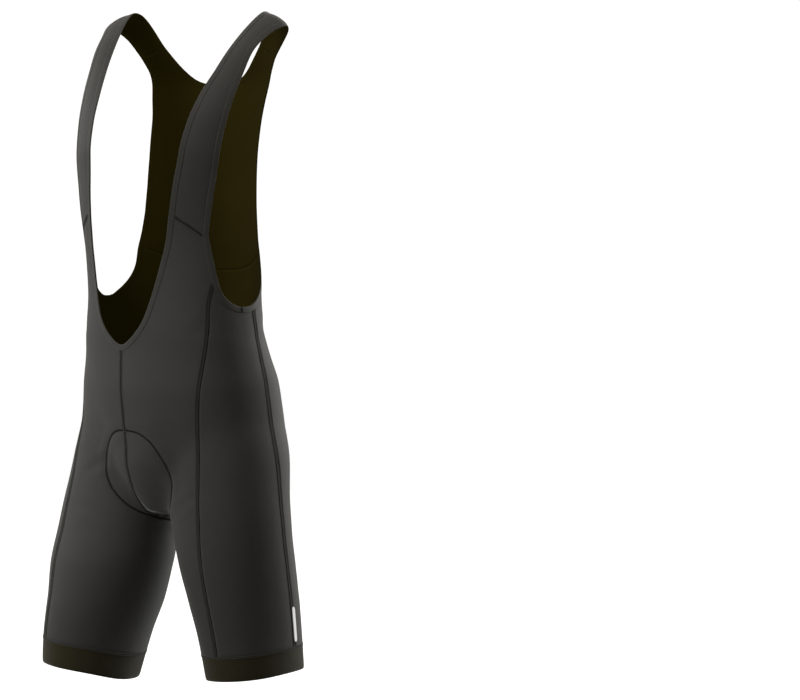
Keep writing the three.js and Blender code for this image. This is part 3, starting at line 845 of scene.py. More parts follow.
    def cloth(self, places: Array) -> Cloth:
        """The places as points on the figure, raised and lowered by the relief."""
        points = FIGURE.on_body(self.side, places[..., 0], places[..., 1])
        normals = FIGURE.normals(points)
        return Cloth(points + normals * RELIEF.height(points)[..., None], normals)


class NodeTools:
    """Adds shader nodes in columns and links them."""

    def __init__(self, tree: bpy.types.NodeTree) -> None:
        """Keeps the tree."""
        self.tree = tree
        self.count = 0

    def add(self, kind: str, **settings: object) -> bpy.types.Node:
        """Adds a node; settings are its properties.

        Args:
            kind: the node's type name.
            settings: property values.

        Returns:
            The node.
        """
        node = self.tree.nodes.new(kind)
        node.location = (220 * (self.count % 8), -260 * (self.count // 8))
        self.count += 1
        for name, value in settings.items():
            setattr(node, name, value)
        return node

    def link(self, output: bpy.types.NodeSocket, target: bpy.types.NodeSocket) -> None:
        """Joins an output to an input."""
        self.tree.links.new(output, target)

    def math(self, operation: str, *values: object) -> bpy.types.NodeSocket:
        """A math node fed by numbers or outputs.

        Args:
            operation: the Math node's operation.
            values: numbers or output sockets.

        Returns:
            The node's output.
        """
        node = self.add("ShaderNodeMath", operation=operation)
        for i, value in enumerate(values):
            if isinstance(value, bpy.types.NodeSocket):
                self.link(value, node.inputs[i])
            else:
                node.inputs[i].default_value = value
        return node.outputs[0]


def shader_group(name: str, inputs: dict[str, float], outputs: Sequence[str]) -> tuple[
        bpy.types.NodeTree, NodeTools, bpy.types.Node, bpy.types.Node]:
    """Starts a shader node group.

    Args:
        name: the group's name.
        inputs: number inputs with their defaults; one named Vector is a vector.
        outputs: the number outputs' names.

    Returns:
        The tree, its tools, its input node and its output node.
    """
    tree = bpy.data.node_groups.new(name, "ShaderNodeTree")
    for key, value in inputs.items():
        kind = "NodeSocketVector" if key == "Vector" else "NodeSocketFloat"
        socket = tree.interface.new_socket(name=key, in_out="INPUT", socket_type=kind)
        if kind == "NodeSocketFloat":
            socket.default_value = value
    for key in outputs:
        tree.interface.new_socket(name=key, in_out="OUTPUT", socket_type="NodeSocketFloat")
    tools = NodeTools(tree)
    return tree, tools, tools.add("NodeGroupInput"), tools.add("NodeGroupOutput")


def knit_group() -> bpy.types.NodeTree:
    """Knitted loops: fine upright ribs, crossed by shallow rows that shift between neighbouring ribs.

    Height is the absolute sine across, less the sine along raised by the rib's phase.
    """
    tree, tools, source, result = shader_group(
        "knit_loops", {"Vector": 0, "Pitch": 0.0009, "Row share": 0.45}, ["Height", "Shade"])
    split = tools.add("ShaderNodeSeparateXYZ")
    tools.link(source.outputs["Vector"], split.inputs[0])
    rib = tools.math("DIVIDE", split.outputs[0], source.outputs["Pitch"])
    wave = tools.math("ABSOLUTE", tools.math("SINE", tools.math("MULTIPLY", rib, math.pi)))
    along = tools.math("DIVIDE", split.outputs[1], source.outputs["Pitch"])
    shifted = tools.math("ADD", tools.math("MULTIPLY", along, 1.35), tools.math("MULTIPLY", wave, 0.5))
    rows = tools.math("ABSOLUTE", tools.math("SINE", tools.math("MULTIPLY", shifted, math.pi)))
    height = tools.math("ADD", tools.math("MULTIPLY", rows, source.outputs["Row share"]), wave)
    tools.link(height, result.inputs["Height"])
    # Shade is painted shade: the loops' height as colour, so their hollows come out darker.
    tools.link(tools.math("MULTIPLY", height, 0.6), result.inputs["Shade"])
    return tree


def wear_group() -> bpy.types.NodeTree:
    """Slow unevenness of dyed cloth: two sizes of cloudy noise round a middle of one half."""
    tree, tools, source, result = shader_group(
        "cloth_clouds", {"Vector": 0, "Large": 9, "Small": 70}, ["Cloud"])
    large = tools.add("ShaderNodeTexNoise")
    small = tools.add("ShaderNodeTexNoise")
    for noise, key in ((large, "Large"), (small, "Small")):
        tools.link(source.outputs["Vector"], noise.inputs["Vector"])
        tools.link(source.outputs[key], noise.inputs["Scale"])
        noise.inputs["Detail"].default_value = 3
    both = tools.math("ADD", large.outputs[0], small.outputs[0])
    tools.link(tools.math("MULTIPLY", both, 0.5), result.inputs["Cloud"])
    return tree


@dataclass(frozen=True)
class Finish:
    """A cloth finish: its colour range, gloss, sheen, painted glow and the pattern of its threads."""

    name: str
    slot: str
    dark: tuple[float, float, float]
    light: tuple[float, float, float]
    roughness: float = 0.75
    sheen: float = 0.25
    sheen_roughness: float = 0.45
    specular: float = 0.3
    pitch: float = 0.0009
    row_share: float = 0.45
    bump: float = 0.25
    bump_distance: float = 0.0002
    glow: float = 0.0

    def material(self, knit: bpy.types.NodeTree, clouds: bpy.types.NodeTree) -> bpy.types.Material:
        """Builds the material.

        Args:
            knit: the group of knitted loops.
            clouds: the group of slow unevenness.

        Returns:
            A procedural material that follows the piece's own UV map.
        """
        material = bpy.data.materials.new(self.name)
        material.use_nodes = True
        material.node_tree.nodes.clear()
        tools = NodeTools(material.node_tree)
        result = tools.add("ShaderNodeOutputMaterial")
        shader = tools.add("ShaderNodeBsdfPrincipled")
        tools.link(shader.outputs[0], result.inputs[0])
        place = tools.add("ShaderNodeTexCoord")
        loops = tools.add("ShaderNodeGroup", node_tree=knit)
        tools.link(place.outputs["UV"], loops.inputs["Vector"])
        loops.inputs["Pitch"].default_value = self.pitch
        loops.inputs["Row share"].default_value = self.row_share
        cloud = tools.add("ShaderNodeGroup", node_tree=clouds)
        tools.link(place.outputs["Object"], cloud.inputs["Vector"])
        # The colour mixes the painted shade of the knit loops with the slow unevenness of the dye.
        blend = tools.math("ADD", tools.math("MULTIPLY", loops.outputs["Shade"], 0.5),
                           tools.math("MULTIPLY", cloud.outputs[0], 0.5))
        colour = tools.add("ShaderNodeMix", data_type="RGBA")
        tools.link(blend, colour.inputs[0])
        colour.inputs[6].default_value = (*self.dark, 1)
        colour.inputs[7].default_value = (*self.light, 1)
        tools.link(colour.outputs[2], shader.inputs["Base Color"])
        rough = tools.math("ADD", tools.math("MULTIPLY", cloud.outputs[0], 0.08), self.roughness - 0.04)
        tools.link(rough, shader.inputs["Roughness"])
        shader.inputs["Specular IOR Level"].default_value = self.specular
        shader.inputs["Sheen Weight"].default_value = self.sheen
        shader.inputs["Sheen Roughness"].default_value = self.sheen_roughness
        # Emission in the light colour is painted glow on a part that is no lamp; most finishes have none.
        shader.inputs["Emission Color"].default_value = (*self.light, 1)
        shader.inputs["Emission Strength"].default_value = self.glow
        bump = tools.add("ShaderNodeBump")
        bump.inputs["Strength"].default_value = self.bump
        bump.inputs["Distance"].default_value = self.bump_distance
        tools.link(loops.outputs["Height"], bump.inputs["Height"])
        tools.link(bump.outputs[0], shader.inputs["Normal"])
        return material


class Wardrobe:
    """Every finish of the garment, made into materials once."""

    FINISHES = (
        Finish("stretch_knit", "cloth", (0.021, 0.0205, 0.0195), (0.040, 0.039, 0.037)),
        # The inside finish is painted shade: near black and warm for the shade inside the garment, with a
        # faint painted glow.
        Finish("inside_painted_shade_and_glow", "cloth", (0.012, 0.009, 0.0008), (0.018, 0.0135, 0.0012), roughness=0.95,
               sheen=0.0, specular=0.05, glow=0.24),
        Finish("gripper_band", "band", (0.019, 0.0155, 0.006), (0.030, 0.025, 0.011), roughness=0.85,
               sheen=0.22, specular=0.15, pitch=0.0016, row_share=0.1, bump=0.5, bump_distance=0.0004),
        Finish("folded_binding", "binding", (0.018, 0.0175, 0.0155), (0.036, 0.035, 0.032), sheen=0.35,
               pitch=0.0011, row_share=0.2),
        Finish("flat_seam", "cloth", (0.013, 0.0125, 0.011), (0.030, 0.029, 0.027), roughness=0.85,
               sheen=0.1, specular=0.15, pitch=0.0013, row_share=0.9, bump=0.6, bump_distance=0.0004),
        # A dark strip of painted shadow along a seam's join, where a groove would hold shade.
        Finish("seam_groove", "cloth", (0.006, 0.0056, 0.0045), (0.011, 0.0103, 0.008), roughness=0.95,
               sheen=0.0, specular=0.05),
        # The pad outline's dark strip is painted shade in the outline's trough.
        Finish("pad_line_painted_shade", "cloth", (0.009, 0.0085, 0.007), (0.019, 0.018, 0.016), roughness=0.95,
               sheen=0.0, specular=0.05, pitch=0.0013, row_share=0.9, bump=0.6, bump_distance=0.0004),
        Finish("sewing_thread", "cloth", (0.026, 0.0255, 0.0245), (0.06, 0.059, 0.057), roughness=0.55,
               sheen=0.35, pitch=0.0005, row_share=0.2),
        Finish("light_thread", "band", (0.055, 0.054, 0.05), (0.11, 0.108, 0.10), roughness=0.55,
               sheen=0.3, pitch=0.0005, row_share=0.2),
        # The reflective film is light grey; its glow is painted light for the film's bright return.
        Finish("reflective_film", "reflective", (0.62, 0.63, 0.64), (0.85, 0.86, 0.87), roughness=0.35,
               sheen=0.0, specular=0.6, pitch=0.0008, row_share=0.6, bump=0.3, bump_distance=0.00005,
               glow=0.35),
    )

    def __init__(self) -> None:
        """Makes the groups and all materials."""
        knit, clouds = knit_group(), wear_group()
        self.finishes = {finish.name: finish for finish in self.FINISHES}
        self.materials = {name: finish.material(knit, clouds) for name, finish in self.finishes.items()}

    def dress(self, obj: bpy.types.Object, outer: str, inner: str | None = None) -> None:
        """Gives a piece its material, and a second one for the inner side of its wall."""
        for name in (outer, inner or outer):
            obj.data.materials.append(self.materials[name])


def new_piece(name: str, points: Array, faces: Array, flat: Array) -> bpy.types.Object:
    """Makes a smoothly shaded mesh object from arrays.

    Args:
        name: the piece's name.
        points: vertices in mm.
        faces: quads of vertex numbers.
        flat: one pair in mm for each corner of each face, for the UV map.

    Returns:
        The object, at the origin.
    """
    mesh = bpy.data.meshes.new(name)
    mesh.from_pydata((points * METRES).tolist(), [], faces.tolist())
    layer = mesh.uv_layers.new(name="flat")
    layer.data.foreach_set("uv", (flat.reshape(-1, 2) * METRES).astype(np.float32).ravel())
    mesh.polygons.foreach_set("use_smooth", np.ones(len(mesh.polygons), bool))
    mesh.update()
    obj = bpy.data.objects.new(name, mesh)
    bpy.context.scene.collection.objects.link(obj)
    return obj


def grid_faces(rows: int, columns: int, flip: bool, closed: bool = False) -> Array:
    """Quads of a grid of points.

    Args:
        rows: rows of points.
        columns: columns of points.
        flip: whether the faces look the other way.
        closed: whether the last column joins the first one.

    Returns:
        One row of four point numbers for each quad.
    """
    i = np.arange(rows - 1)[:, None]
    j = np.arange(columns if closed else columns - 1)[None]
    right = (j + 1) % columns
    upper, lower = i * columns, (i + 1) * columns
    quads = np.stack([upper + j, lower + j, lower + right, upper + right], -1).reshape(-1, 4)
    return quads[:, ::-1] if flip else quads


def thicken(obj: bpy.types.Object, wall: float) -> None:
    """Gives an open piece its wall, inward from its outer face, with the second material inside, which for
    cloth is the painted shade of the inside.
    """
    shell = obj.modifiers.new("wall", "SOLIDIFY")
    shell.thickness = wall * METRES
    shell.offset = -1
    shell.use_even_offset = False
    shell.material_offset = 1


def cloth_piece(name: str, cloths: Sequence[tuple[Cloth, bool]], wall: float = WALL) -> bpy.types.Object:
    """A piece of one or more grids, welded where their points meet.

    Args:
        name: the piece's name.
        cloths: grids, each with whether its faces are flipped.
        wall: its thickness in mm.

    Returns:
        The object with its wall.
    """
    points, faces, flats, start = [], [], [], 0
    for cloth, flip in cloths:
        rows, columns = cloth.points.shape[:2]
        quads = grid_faces(rows, columns, flip)
        faces.append(quads + start)
        flats.append(cloth.flat.reshape(-1, 2)[quads])
        points.append(cloth.points.reshape(-1, 3))
        start += rows * columns
    every = np.vstack(points)
    quads = np.vstack(faces)
    _, first, where = np.unique(np.round(every, 3), axis=0, return_index=True, return_inverse=True)
    obj = new_piece(name, every[first], where.reshape(-1)[quads], np.vstack(flats))
    thicken(obj, wall)
    return obj


@dataclass(frozen=True)
class Profile:
    """A cross-section carried along a line: distances across and heights, in mm."""

    across: Array
    height: Array
    closed: bool


def flat_seam_profile(width: float, rise: float, middle: float = 0, sunk: float = 0.25) -> Profile:
    """A low pillow: rise times the fourth root of one minus the fourth power across, sunk at its edges.

    Args:
        width: its width.
        rise: its height over its edges.
        middle: how far its middle lies to one side of the line.
        sunk: how deep its edges lie in the cloth.

    Returns:
        An open profile.
    """
    t = np.linspace(-1, 1, 13)
    return Profile(t * width / 2 + middle, rise * (1 - t**4) ** 0.25 - sunk, False)


def binding_profile(width: float, above: float, below: float, gap: float,
                    hollow: float = 0.22, hollow_place: float = 1.7, hollow_width: float = 0.7) -> Profile:
    """A folded strip: a superellipse of power 5 round its middle, with a stitched hollow near the panel.

    Args:
        width: its width.
        above: its height outward from the panel's outer face.
        below: its depth inward from that face.
        gap: where it begins, measured from the line.
        hollow: the depth of the hollow that its stitches pull in.
        hollow_place: the hollow's distance from the line.
        hollow_width: its half width.

    Returns:
        A closed profile.
    """
    t = np.linspace(0, 2 * np.pi, 28, endpoint=False)
    c, s = np.cos(t), np.sin(t)
    across = gap + width / 2 + width / 2 * np.sign(c) * np.abs(c) ** 0.4
    height = (above - below) / 2 + (above + below) / 2 * np.sign(s) * np.abs(s) ** 0.4
    dip = hollow * np.exp(-(((across - hollow_place) / hollow_width) ** 2)) * (s > 0)
    return Profile(across, height - dip, True)


def carry(name: str, line: Line, profile: Profile, closed: bool, way: int = 1) -> bpy.types.Object:
    """Carries a profile along a line: across is the outward direction crossed with the line's own.

    Args:
        name: the piece's name.
        line: where it runs.
        profile: its cross-section.
        closed: whether the line's end meets its start.
        way: 1 or -1, the side of the line that the profile's distances are measured to.

    Returns:
        The object.
    """
    tangent = line.tangents(closed)
    across = unit(np.cross(line.normals, tangent)) * way
    points = (line.points[:, None] + across[:, None] * profile.across[None, :, None]
              + line.normals[:, None] * profile.height[None, :, None])
    rows, columns = points.shape[:2]
    place = np.concatenate([[0], np.cumsum(np.linalg.norm(np.diff(line.points, axis=0), axis=1))])
    round_it = np.concatenate([[0], np.cumsum(np.hypot(np.diff(profile.across), np.diff(profile.height)))])
    if closed:
        points = np.concatenate([points, points[:1]])
        place = np.append(place, place[-1] + np.linalg.norm(line.points[0] - line.points[-1]))
        rows += 1
    quads = grid_faces(rows, columns, way > 0, profile.closed)
    flat = np.stack(np.broadcast_arrays(round_it, place[:, None]), -1)
    every = points.reshape(-1, 3)
    if closed:
        last = (rows - 1) * columns
        quads_in = np.where(quads >= last, quads - last, quads)
        every = every[:last]
    else:
        quads_in = quads
    piece = new_piece(name, every, quads_in, flat.reshape(-1, 2)[quads])
    if profile.closed:
        # Faces on the strip's inner side take the second material, on the bindings the painted shade of the
        # inside.
        inner = np.tile(profile.height + np.roll(profile.height, -1) < INNER_FACE, rows - 1)
        piece.data.polygons.foreach_set("material_index", inner.astype(np.int32))
    return piece


def stitches(name: str, lines: Sequence[tuple[Line, Sequence[float], bool]], lift: float,
             length: float = 2.1, pitch: float = 3.0, thick: float = 0.32) -> bpy.types.Object:
    """Rows of small raised stitches: each is a six-sided lens, longest along its row.

    Args:
        name: the piece's name.
        lines: lines, each with its rows' distances across and whether it is closed.
        lift: the stitches' middle height over the line, in mm.
        length: a stitch's length.
        pitch: the step from stitch to stitch.
        thick: half a stitch's thickness at its middle.

    Returns:
        One object with every stitch.
    """
    ring = np.arange(6) * np.pi / 3
    along = np.array([-0.5, -0.3, 0.3, 0.5])
    swell = np.array([0.35, 1, 1, 0.35])
    template = np.stack([
        np.broadcast_to(along[:, None] * length, (4, 6)),
        swell[:, None] * np.cos(ring) * thick,
        swell[:, None] * np.sin(ring) * thick,
    ], -1).reshape(-1, 3)
    side_faces = grid_faces(4, 6, False, True)
    caps = np.array([[0, 1, 2, 3], [0, 3, 4, 5], [21, 20, 19, 18], [23, 22, 21, 18]])
    faces = np.vstack([side_faces, caps])
    points = []
    for line, offsets, closed in lines:
        even = line.even(pitch, closed, passes=2)
        tangent = even.tangents(closed)
        across = unit(np.cross(even.normals, tangent))
        for offset in offsets:
            middle = even.points + across * offset + even.normals * lift
            points.append(
                middle[:, None] + tangent[:, None] * template[None, :, :1]
                + across[:, None] * template[None, :, 1:2] + even.normals[:, None] * template[None, :, 2:])
    every = np.concatenate(points)
    count = len(every)
    quads = (faces[None] + (np.arange(count) * len(template))[:, None, None]).reshape(-1, 4)
    flat = np.broadcast_to(template[faces][None, ..., :2], (count, len(faces), 4, 2))
    return new_piece(name, every.reshape(-1, 3), quads, flat.reshape(-1, 4, 2))


class Garment:
    """What every sub-assembly needs: the wardrobe, and how a piece joins the part."""

    def __init__(self, wardrobe: Wardrobe) -> None:
        """Keeps the wardrobe and starts the list of pieces."""
        self.wardrobe = wardrobe
        self.pieces: list[bpy.types.Object] = []

    def finish(self, obj: bpy.types.Object, outer: str, inner: str | None = None,
               node: str | None = None) -> bpy.types.Object:
        """Dresses a piece, lets it ride on the part and stand for its solid.

        Args:
            obj: the piece.
            outer: the finish outside.
            inner: the finish inside, if it differs.
            node: the solid it stands for.

        Returns:
            The piece.
        """
        self.wardrobe.dress(obj, outer, inner)
        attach(obj, "root")
        if node:
            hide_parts(node)
        self.pieces.append(obj)
        return obj

    @staticmethod
    def declare(obj: bpy.types.Object, cloths: Sequence[Cloth], held: str = "stretched") -> None:
        """Does nothing: no cut is stated for the piece.

        Args:
            obj: the piece; not used.
            cloths: its grids; not used.
            held: how the cloth is held; not used.
        """


class Half(Garment):
    """The panels of one side, from the armhole and the neck down to the hem band."""

    BACK_FADE_ROWS = 8 * DETAIL
    BACK_FADE_POWER = 1.5
    HEM_ROLL = 0.5
    HEM_ROLL_LENGTH = 1.5
    TOP_RISE = 0.35
    TOP_RISE_LENGTH = 1.2

    def __init__(self, wardrobe: Wardrobe, side: Side) -> None:
        """Works out the grids of all three panels and the hem band."""
        super().__init__(wardrobe)
        self.side = side
        self.placing = Placing(side)
        self.front, self.seat = self.main_grids()
        self.side_front = self.side_front_grid()
        self.side_back, self.armhole_columns = self.side_back_grid()
        self.band = self.band_grid()

    def main_grids(self) -> tuple[Cloth, Cloth]:
        """The front part and the seat part of the main panel, which share the inner leg's line."""
        p = self.placing
        middle_rows = BIB_FRONT_ROWS + BODY_ROWS - NECK_ROWS - INNER_ROWS
        first = np.vstack([
            p.neck(NECK_ROWS)[:-1],
            p.middle(NECK_EDGE.last, -1, middle_rows),
            p.inner(-1, INNER_ROWS)[1:],
        ])
        second = np.vstack([
            p.armhole_front(BIB_FRONT_ROWS)[:-1],
            p.seam("front", ARMHOLE_FRONT.last, BODY_ROWS),
        ])
        front = p.cloth(p.between(first, second, FRONT_COLUMNS, None))
        seat_edge = np.vstack([
            p.middle(float(WAIST_SEAM.at("level", 0)), 1, BODY_ROWS - INNER_ROWS),
            p.inner(1, INNER_ROWS)[1:],
        ])
        back_seam = p.seam("back", p.back_top(), BODY_ROWS)
        seat = p.cloth(p.between(seat_edge, back_seam, SEAT_COLUMNS, p.waist_level))
        crotch = BODY_ROWS - INNER_ROWS
        seat.points[crotch:, 0] = front.points[crotch + BIB_FRONT_ROWS:, 0]
        return front, seat

    def side_front_grid(self) -> Cloth:
        """The panel between the front seam and the outer seam."""
        p = self.placing
        first = p.seam("front", ARMHOLE_FRONT.last, BODY_ROWS)
        second = p.seam(OUTER_SEAM[self.side], p.outer_top(), BODY_ROWS)
        armhole = ARMHOLE_LOW[self.side]
        return p.cloth(p.between(first, second, SIDE_COLUMNS, lambda angle: armhole.at("level", angle)))

    def side_back_grid(self) -> tuple[Cloth, int]:
        """The panel between the outer seam and the back seam, and how many columns the armhole takes."""
        p = self.placing
        armhole = ARMHOLE_LOW[self.side]
        columns = SIDE_COLUMNS - WAIST_COLUMNS
        first = p.seam(OUTER_SEAM[self.side], p.outer_top(), BODY_ROWS)
        second = p.seam("back", p.back_top(), BODY_ROWS)
        even = p.between(first, second, SIDE_COLUMNS, None)
        t = np.linspace(0, 1, SIDE_COLUMNS + 1)
        share = columns / SIDE_COLUMNS
        corner = armhole.last
        wanted = np.where(t < share, mix(first[0, 0], corner, t / share),
                          mix(corner, second[0, 0], (t - share) / (1 - share)))
        level = np.where(wanted <= corner, armhole.at("level", wanted), p.waist_level(wanted))
        row = np.arange(BODY_ROWS + 1)[:, None]
        fade = np.maximum(1 - row / self.BACK_FADE_ROWS, 0) ** self.BACK_FADE_POWER
        even[..., 0] += (wanted - mix(first[0, 0], second[0, 0], t)) * fade
        even[..., 1] += (level - mix(first[0, 1], second[0, 1], t)) * fade
        return p.cloth(even), columns

    def band_grid(self) -> Cloth:
        """The hem band, whose last column repeats its first one.

        Its top edge lies a little outward and its lower edge a little inward, both fading off in a few mm.
        """
        count = FRONT_COLUMNS + 2 * SIDE_COLUMNS + SEAT_COLUMNS
        angle = INNER_HEM_ANGLE + np.linspace(0, 360, count + 1)
        down = np.linspace(0, 1, BAND_ROWS + 1)[:, None]
        level = self.placing.band_top(angle)[None] - BAND_HEIGHT * down
        points = FIGURE.on_body(self.side, np.broadcast_to(angle, level.shape), level)
        points[:, -1] = points[:, 0]
        normals = FIGURE.normals(points)
        inward = self.HEM_ROLL * np.exp(-((1 - down) * BAND_HEIGHT / self.HEM_ROLL_LENGTH))
        outward = self.TOP_RISE * np.exp(-down * BAND_HEIGHT / self.TOP_RISE_LENGTH)
        return Cloth(points - normals * (inward - outward)[..., None], normals)

    def build(self) -> None:
        """Makes the panels and the band."""
        word, flip = self.side.word, self.side is Side.RIGHT
        main = cloth_piece(f"knit_main_panel_{word}", [(self.front, flip), (self.seat, not flip)])
        self.finish(main, "stretch_knit", "inside_painted_shade_and_glow", f"main_panel_{word}")
        self.declare(main, [self.front, self.seat])
        for name, cloth in (("side_front", self.side_front), ("side_back", self.side_back)):
            panel = cloth_piece(f"knit_{name}_{word}", [(cloth, flip)])
            self.finish(panel, "stretch_knit", "inside_painted_shade_and_glow", f"{name}_{word}")
            self.declare(panel, [cloth])
        band = cloth_piece(f"elastic_hem_band_{word}", [(self.band, flip)], wall=BAND_WALL)
        self.finish(band, "gripper_band", "inside_painted_shade_and_glow", f"hem_band_{word}")
        self.declare(band, [self.band])
        self.tab()

    def tab(self, top: float = -827, bottom: float = -877, width: float = 6, lift: float = 1.1,
            leg_radius: float = 66) -> None:
        """The plain reflective tab over the outer seam, with rounded ends.

        Args:
            top: its upper end's level.
            bottom: its lower end's level.
            width: its width.
            lift: its outer face's height over the panel's.
            leg_radius: the leg's radius there.
        """
        rows, columns = 40, 9
        v = np.linspace(-1, 1, rows)[:, None]
        level = mix(top, bottom, (v + 1) / 2)
        narrow = (1 - np.abs(v) ** 14) ** 0.5
        turn = np.degrees(width / 2 / leg_radius) * np.linspace(-1, 1, columns)[None] * narrow
        angle = SEAMS.at(OUTER_SEAM[self.side], level) + turn
        points = FIGURE.on_body(self.side, angle, np.broadcast_to(level, angle.shape))
        normals = FIGURE.normals(points)
        cloth = Cloth(points + normals * lift, normals)
        word, flip = self.side.word, self.side is Side.RIGHT
        tab = cloth_piece(f"plain_reflective_tab_{word}", [(cloth, flip)], wall=TAB_WALL)
        self.finish(tab, "reflective_film", node=f"reflective_tab_{word}")


class BackBib(Garment):
    """The back panel from the waist seam to the straps."""

    def __init__(self, wardrobe: Wardrobe, halves: dict[Side, Half]) -> None:
        """Works out the grid from both halves' edges."""
        super().__init__(wardrobe)
        self.columns = SEAT_COLUMNS + WAIST_COLUMNS
        left, right = (self.half_grid(halves[side]) for side in (Side.LEFT, Side.RIGHT))
        mirrored = right[:, :0:-1] * np.array([-1, 1])
        places = np.concatenate([mirrored, left], 1)
        points = FIGURE.on_back(places[..., 0], places[..., 1])
        normals = FIGURE.normals(points)
        self.cloth = Cloth(points + normals * RELIEF.height(points)[..., None], normals)

    def half_grid(self, half: Half) -> Array:
        """Straight rails from top to bottom, moved out to the armhole edge.

        Args:
            half: the panels of the same side.

        Returns:
            Rows and columns of distances across and levels.
        """
        edge = BIB_SIDE[half.side]
        scoop = self.columns - SHOULDER_COLUMNS
        across = SCOOP_END * np.sin(np.pi / 2 * np.arange(scoop + 1) / scoop)
        t = np.arange(1, SHOULDER_COLUMNS + 1) / SHOULDER_COLUMNS
        scoop_level = BIB_SCOOP.at("level", across)
        top = np.vstack([
            np.stack([across, scoop_level], 1),
            np.stack([mix(SCOOP_END, float(edge.at("across", edge.first)), t),
                      mix(float(scoop_level[-1]), edge.first, t)], 1),
        ])
        seam_top = half.placing.back_top()
        seam_across = float(half.placing.across(SEAMS.at("back", seam_top), np.array(seam_top)))
        corner = float(edge.at("across", edge.last))
        out = np.concatenate([
            np.linspace(0, seam_across, SEAT_COLUMNS + 1),
            np.linspace(seam_across, corner, WAIST_COLUMNS + 1)[1:],
        ])
        bottom = np.stack([out, WAIST_SEAM.at("level", out)], 1)
        v = np.linspace(0, 1, BIB_BACK_ROWS + 1)[:, None, None]
        u = np.linspace(0, 1, self.columns + 1)[None, :, None]
        level = mix(edge.first, edge.last, v[:, 0, 0])
        side_edge = np.stack([edge.at("across", level), level], 1)[:, None]
        straight = mix(top[None], bottom[None], v)
        return straight + (side_edge - straight[:, -1:]) * u

    def build(self) -> None:
        """Makes the panel."""
        bib = cloth_piece("knit_back_bib", [(self.cloth, True)])
        self.finish(bib, "stretch_knit", "inside_painted_shade_and_glow", "back_bib")
        self.declare(bib, [self.cloth])

    def shoulder(self, side: Side) -> Line:
        """The top edge under a strap, from the neck outward."""
        if side is Side.LEFT:
            return self.cloth.row(0, slice(2 * self.columns - SHOULDER_COLUMNS, None))
        return self.cloth.row(0, slice(0, SHOULDER_COLUMNS + 1)).reversed()

    def scoop(self) -> Line:
        """The neck edge from the wearer's right to left."""
        return self.cloth.row(0, slice(SHOULDER_COLUMNS, 2 * self.columns + 1 - SHOULDER_COLUMNS))

    def armhole(self, side: Side) -> Line:
        """The armhole edge from the top down."""
        return self.cloth.column(0 if side is Side.RIGHT else -1)


class Strap(Garment):
    """A shoulder strap from the front panel over the shoulder to the back bib."""

    def __init__(self, wardrobe: Wardrobe, half: Half, bib: BackBib) -> None:
        """Works out the grid and draws its ends onto the panels."""
        super().__init__(wardrobe)
        self.side = half.side
        place = np.linspace(0, STRAP.last, STRAP_ROWS + 1)[:, None]
        t = np.linspace(0, 1, SHOULDER_COLUMNS + 1)[None]
        points, normals = self.surface(place, t)
        i = np.arange(STRAP_ROWS + 1)
        for end, line in ((0, half.front.row(0)), (STRAP_ROWS, bib.shoulder(half.side))):
            along = np.linspace(0, 1, len(line.points))
            both = np.hstack([line.points, line.normals])
            seam = np.stack([np.interp(t[0], along, column) for column in both.T], 1)
            pull = (1 - smooth_step(np.abs(i - end), 0, STRAP_BLEND_ROWS))[:, None, None]
            points = points + (seam[:, :3] - points[end]) * pull
            normals = unit(mix(normals, seam[:, 3:], pull))
        self.cloth = Cloth(points, normals)

    def share(self, place: Array, t: Array) -> Array:
        """The strap's own cloth lies between its two bindings."""
        ends = [np.stack([STRAP.at(k + axis, place) for axis in "XYZ"], -1) for k in ("neck", "arm")]
        edge = BINDING_WIDTH / np.linalg.norm(ends[1] - ends[0], axis=-1)
        return mix(edge, 1 - edge, t)

    def surface(self, place: Array, t: Array) -> tuple[Array, Array]:
        """Points between the neck edge and the armhole edge, crowned by 4t(1 - t).

        Args:
            place: lengths along the strap, one a row.
            t: shares of its width, one a column.

        Returns:
            The points and their outward directions.
        """
        t = self.share(place, t)
        place = np.broadcast_to(place, t.shape)

        def edge(which: str, where: Array) -> Array:
            """An edge's point at a place."""
            return np.stack([STRAP.at(which + axis, where) for axis in "XYZ"], -1)

        neck, arm = edge("neck", place), edge("arm", place)
        ahead = edge("neck", place + 4) - edge("neck", place - 4)
        out = -unit(np.cross(ahead, arm - neck))
        crown = (STRAP.at("crown", place) * 4 * t * (1 - t))[..., None]
        points = mix(neck, arm, t[..., None]) + out * crown
        points = FIGURE.turned(points * np.array([self.side.value, 1, 1]))
        down, over = np.gradient(points, axis=0), np.gradient(points, axis=1)
        return points, unit(np.cross(over, down)) * self.side.value

    def build(self) -> None:
        """Makes the strap."""
        word = self.side.word
        strap = cloth_piece(f"knit_strap_{word}", [(self.cloth, self.side is Side.LEFT)])
        self.finish(strap, "stretch_knit", "inside_painted_shade_and_glow", f"strap_{word}")
        self.declare(strap, [self.cloth])


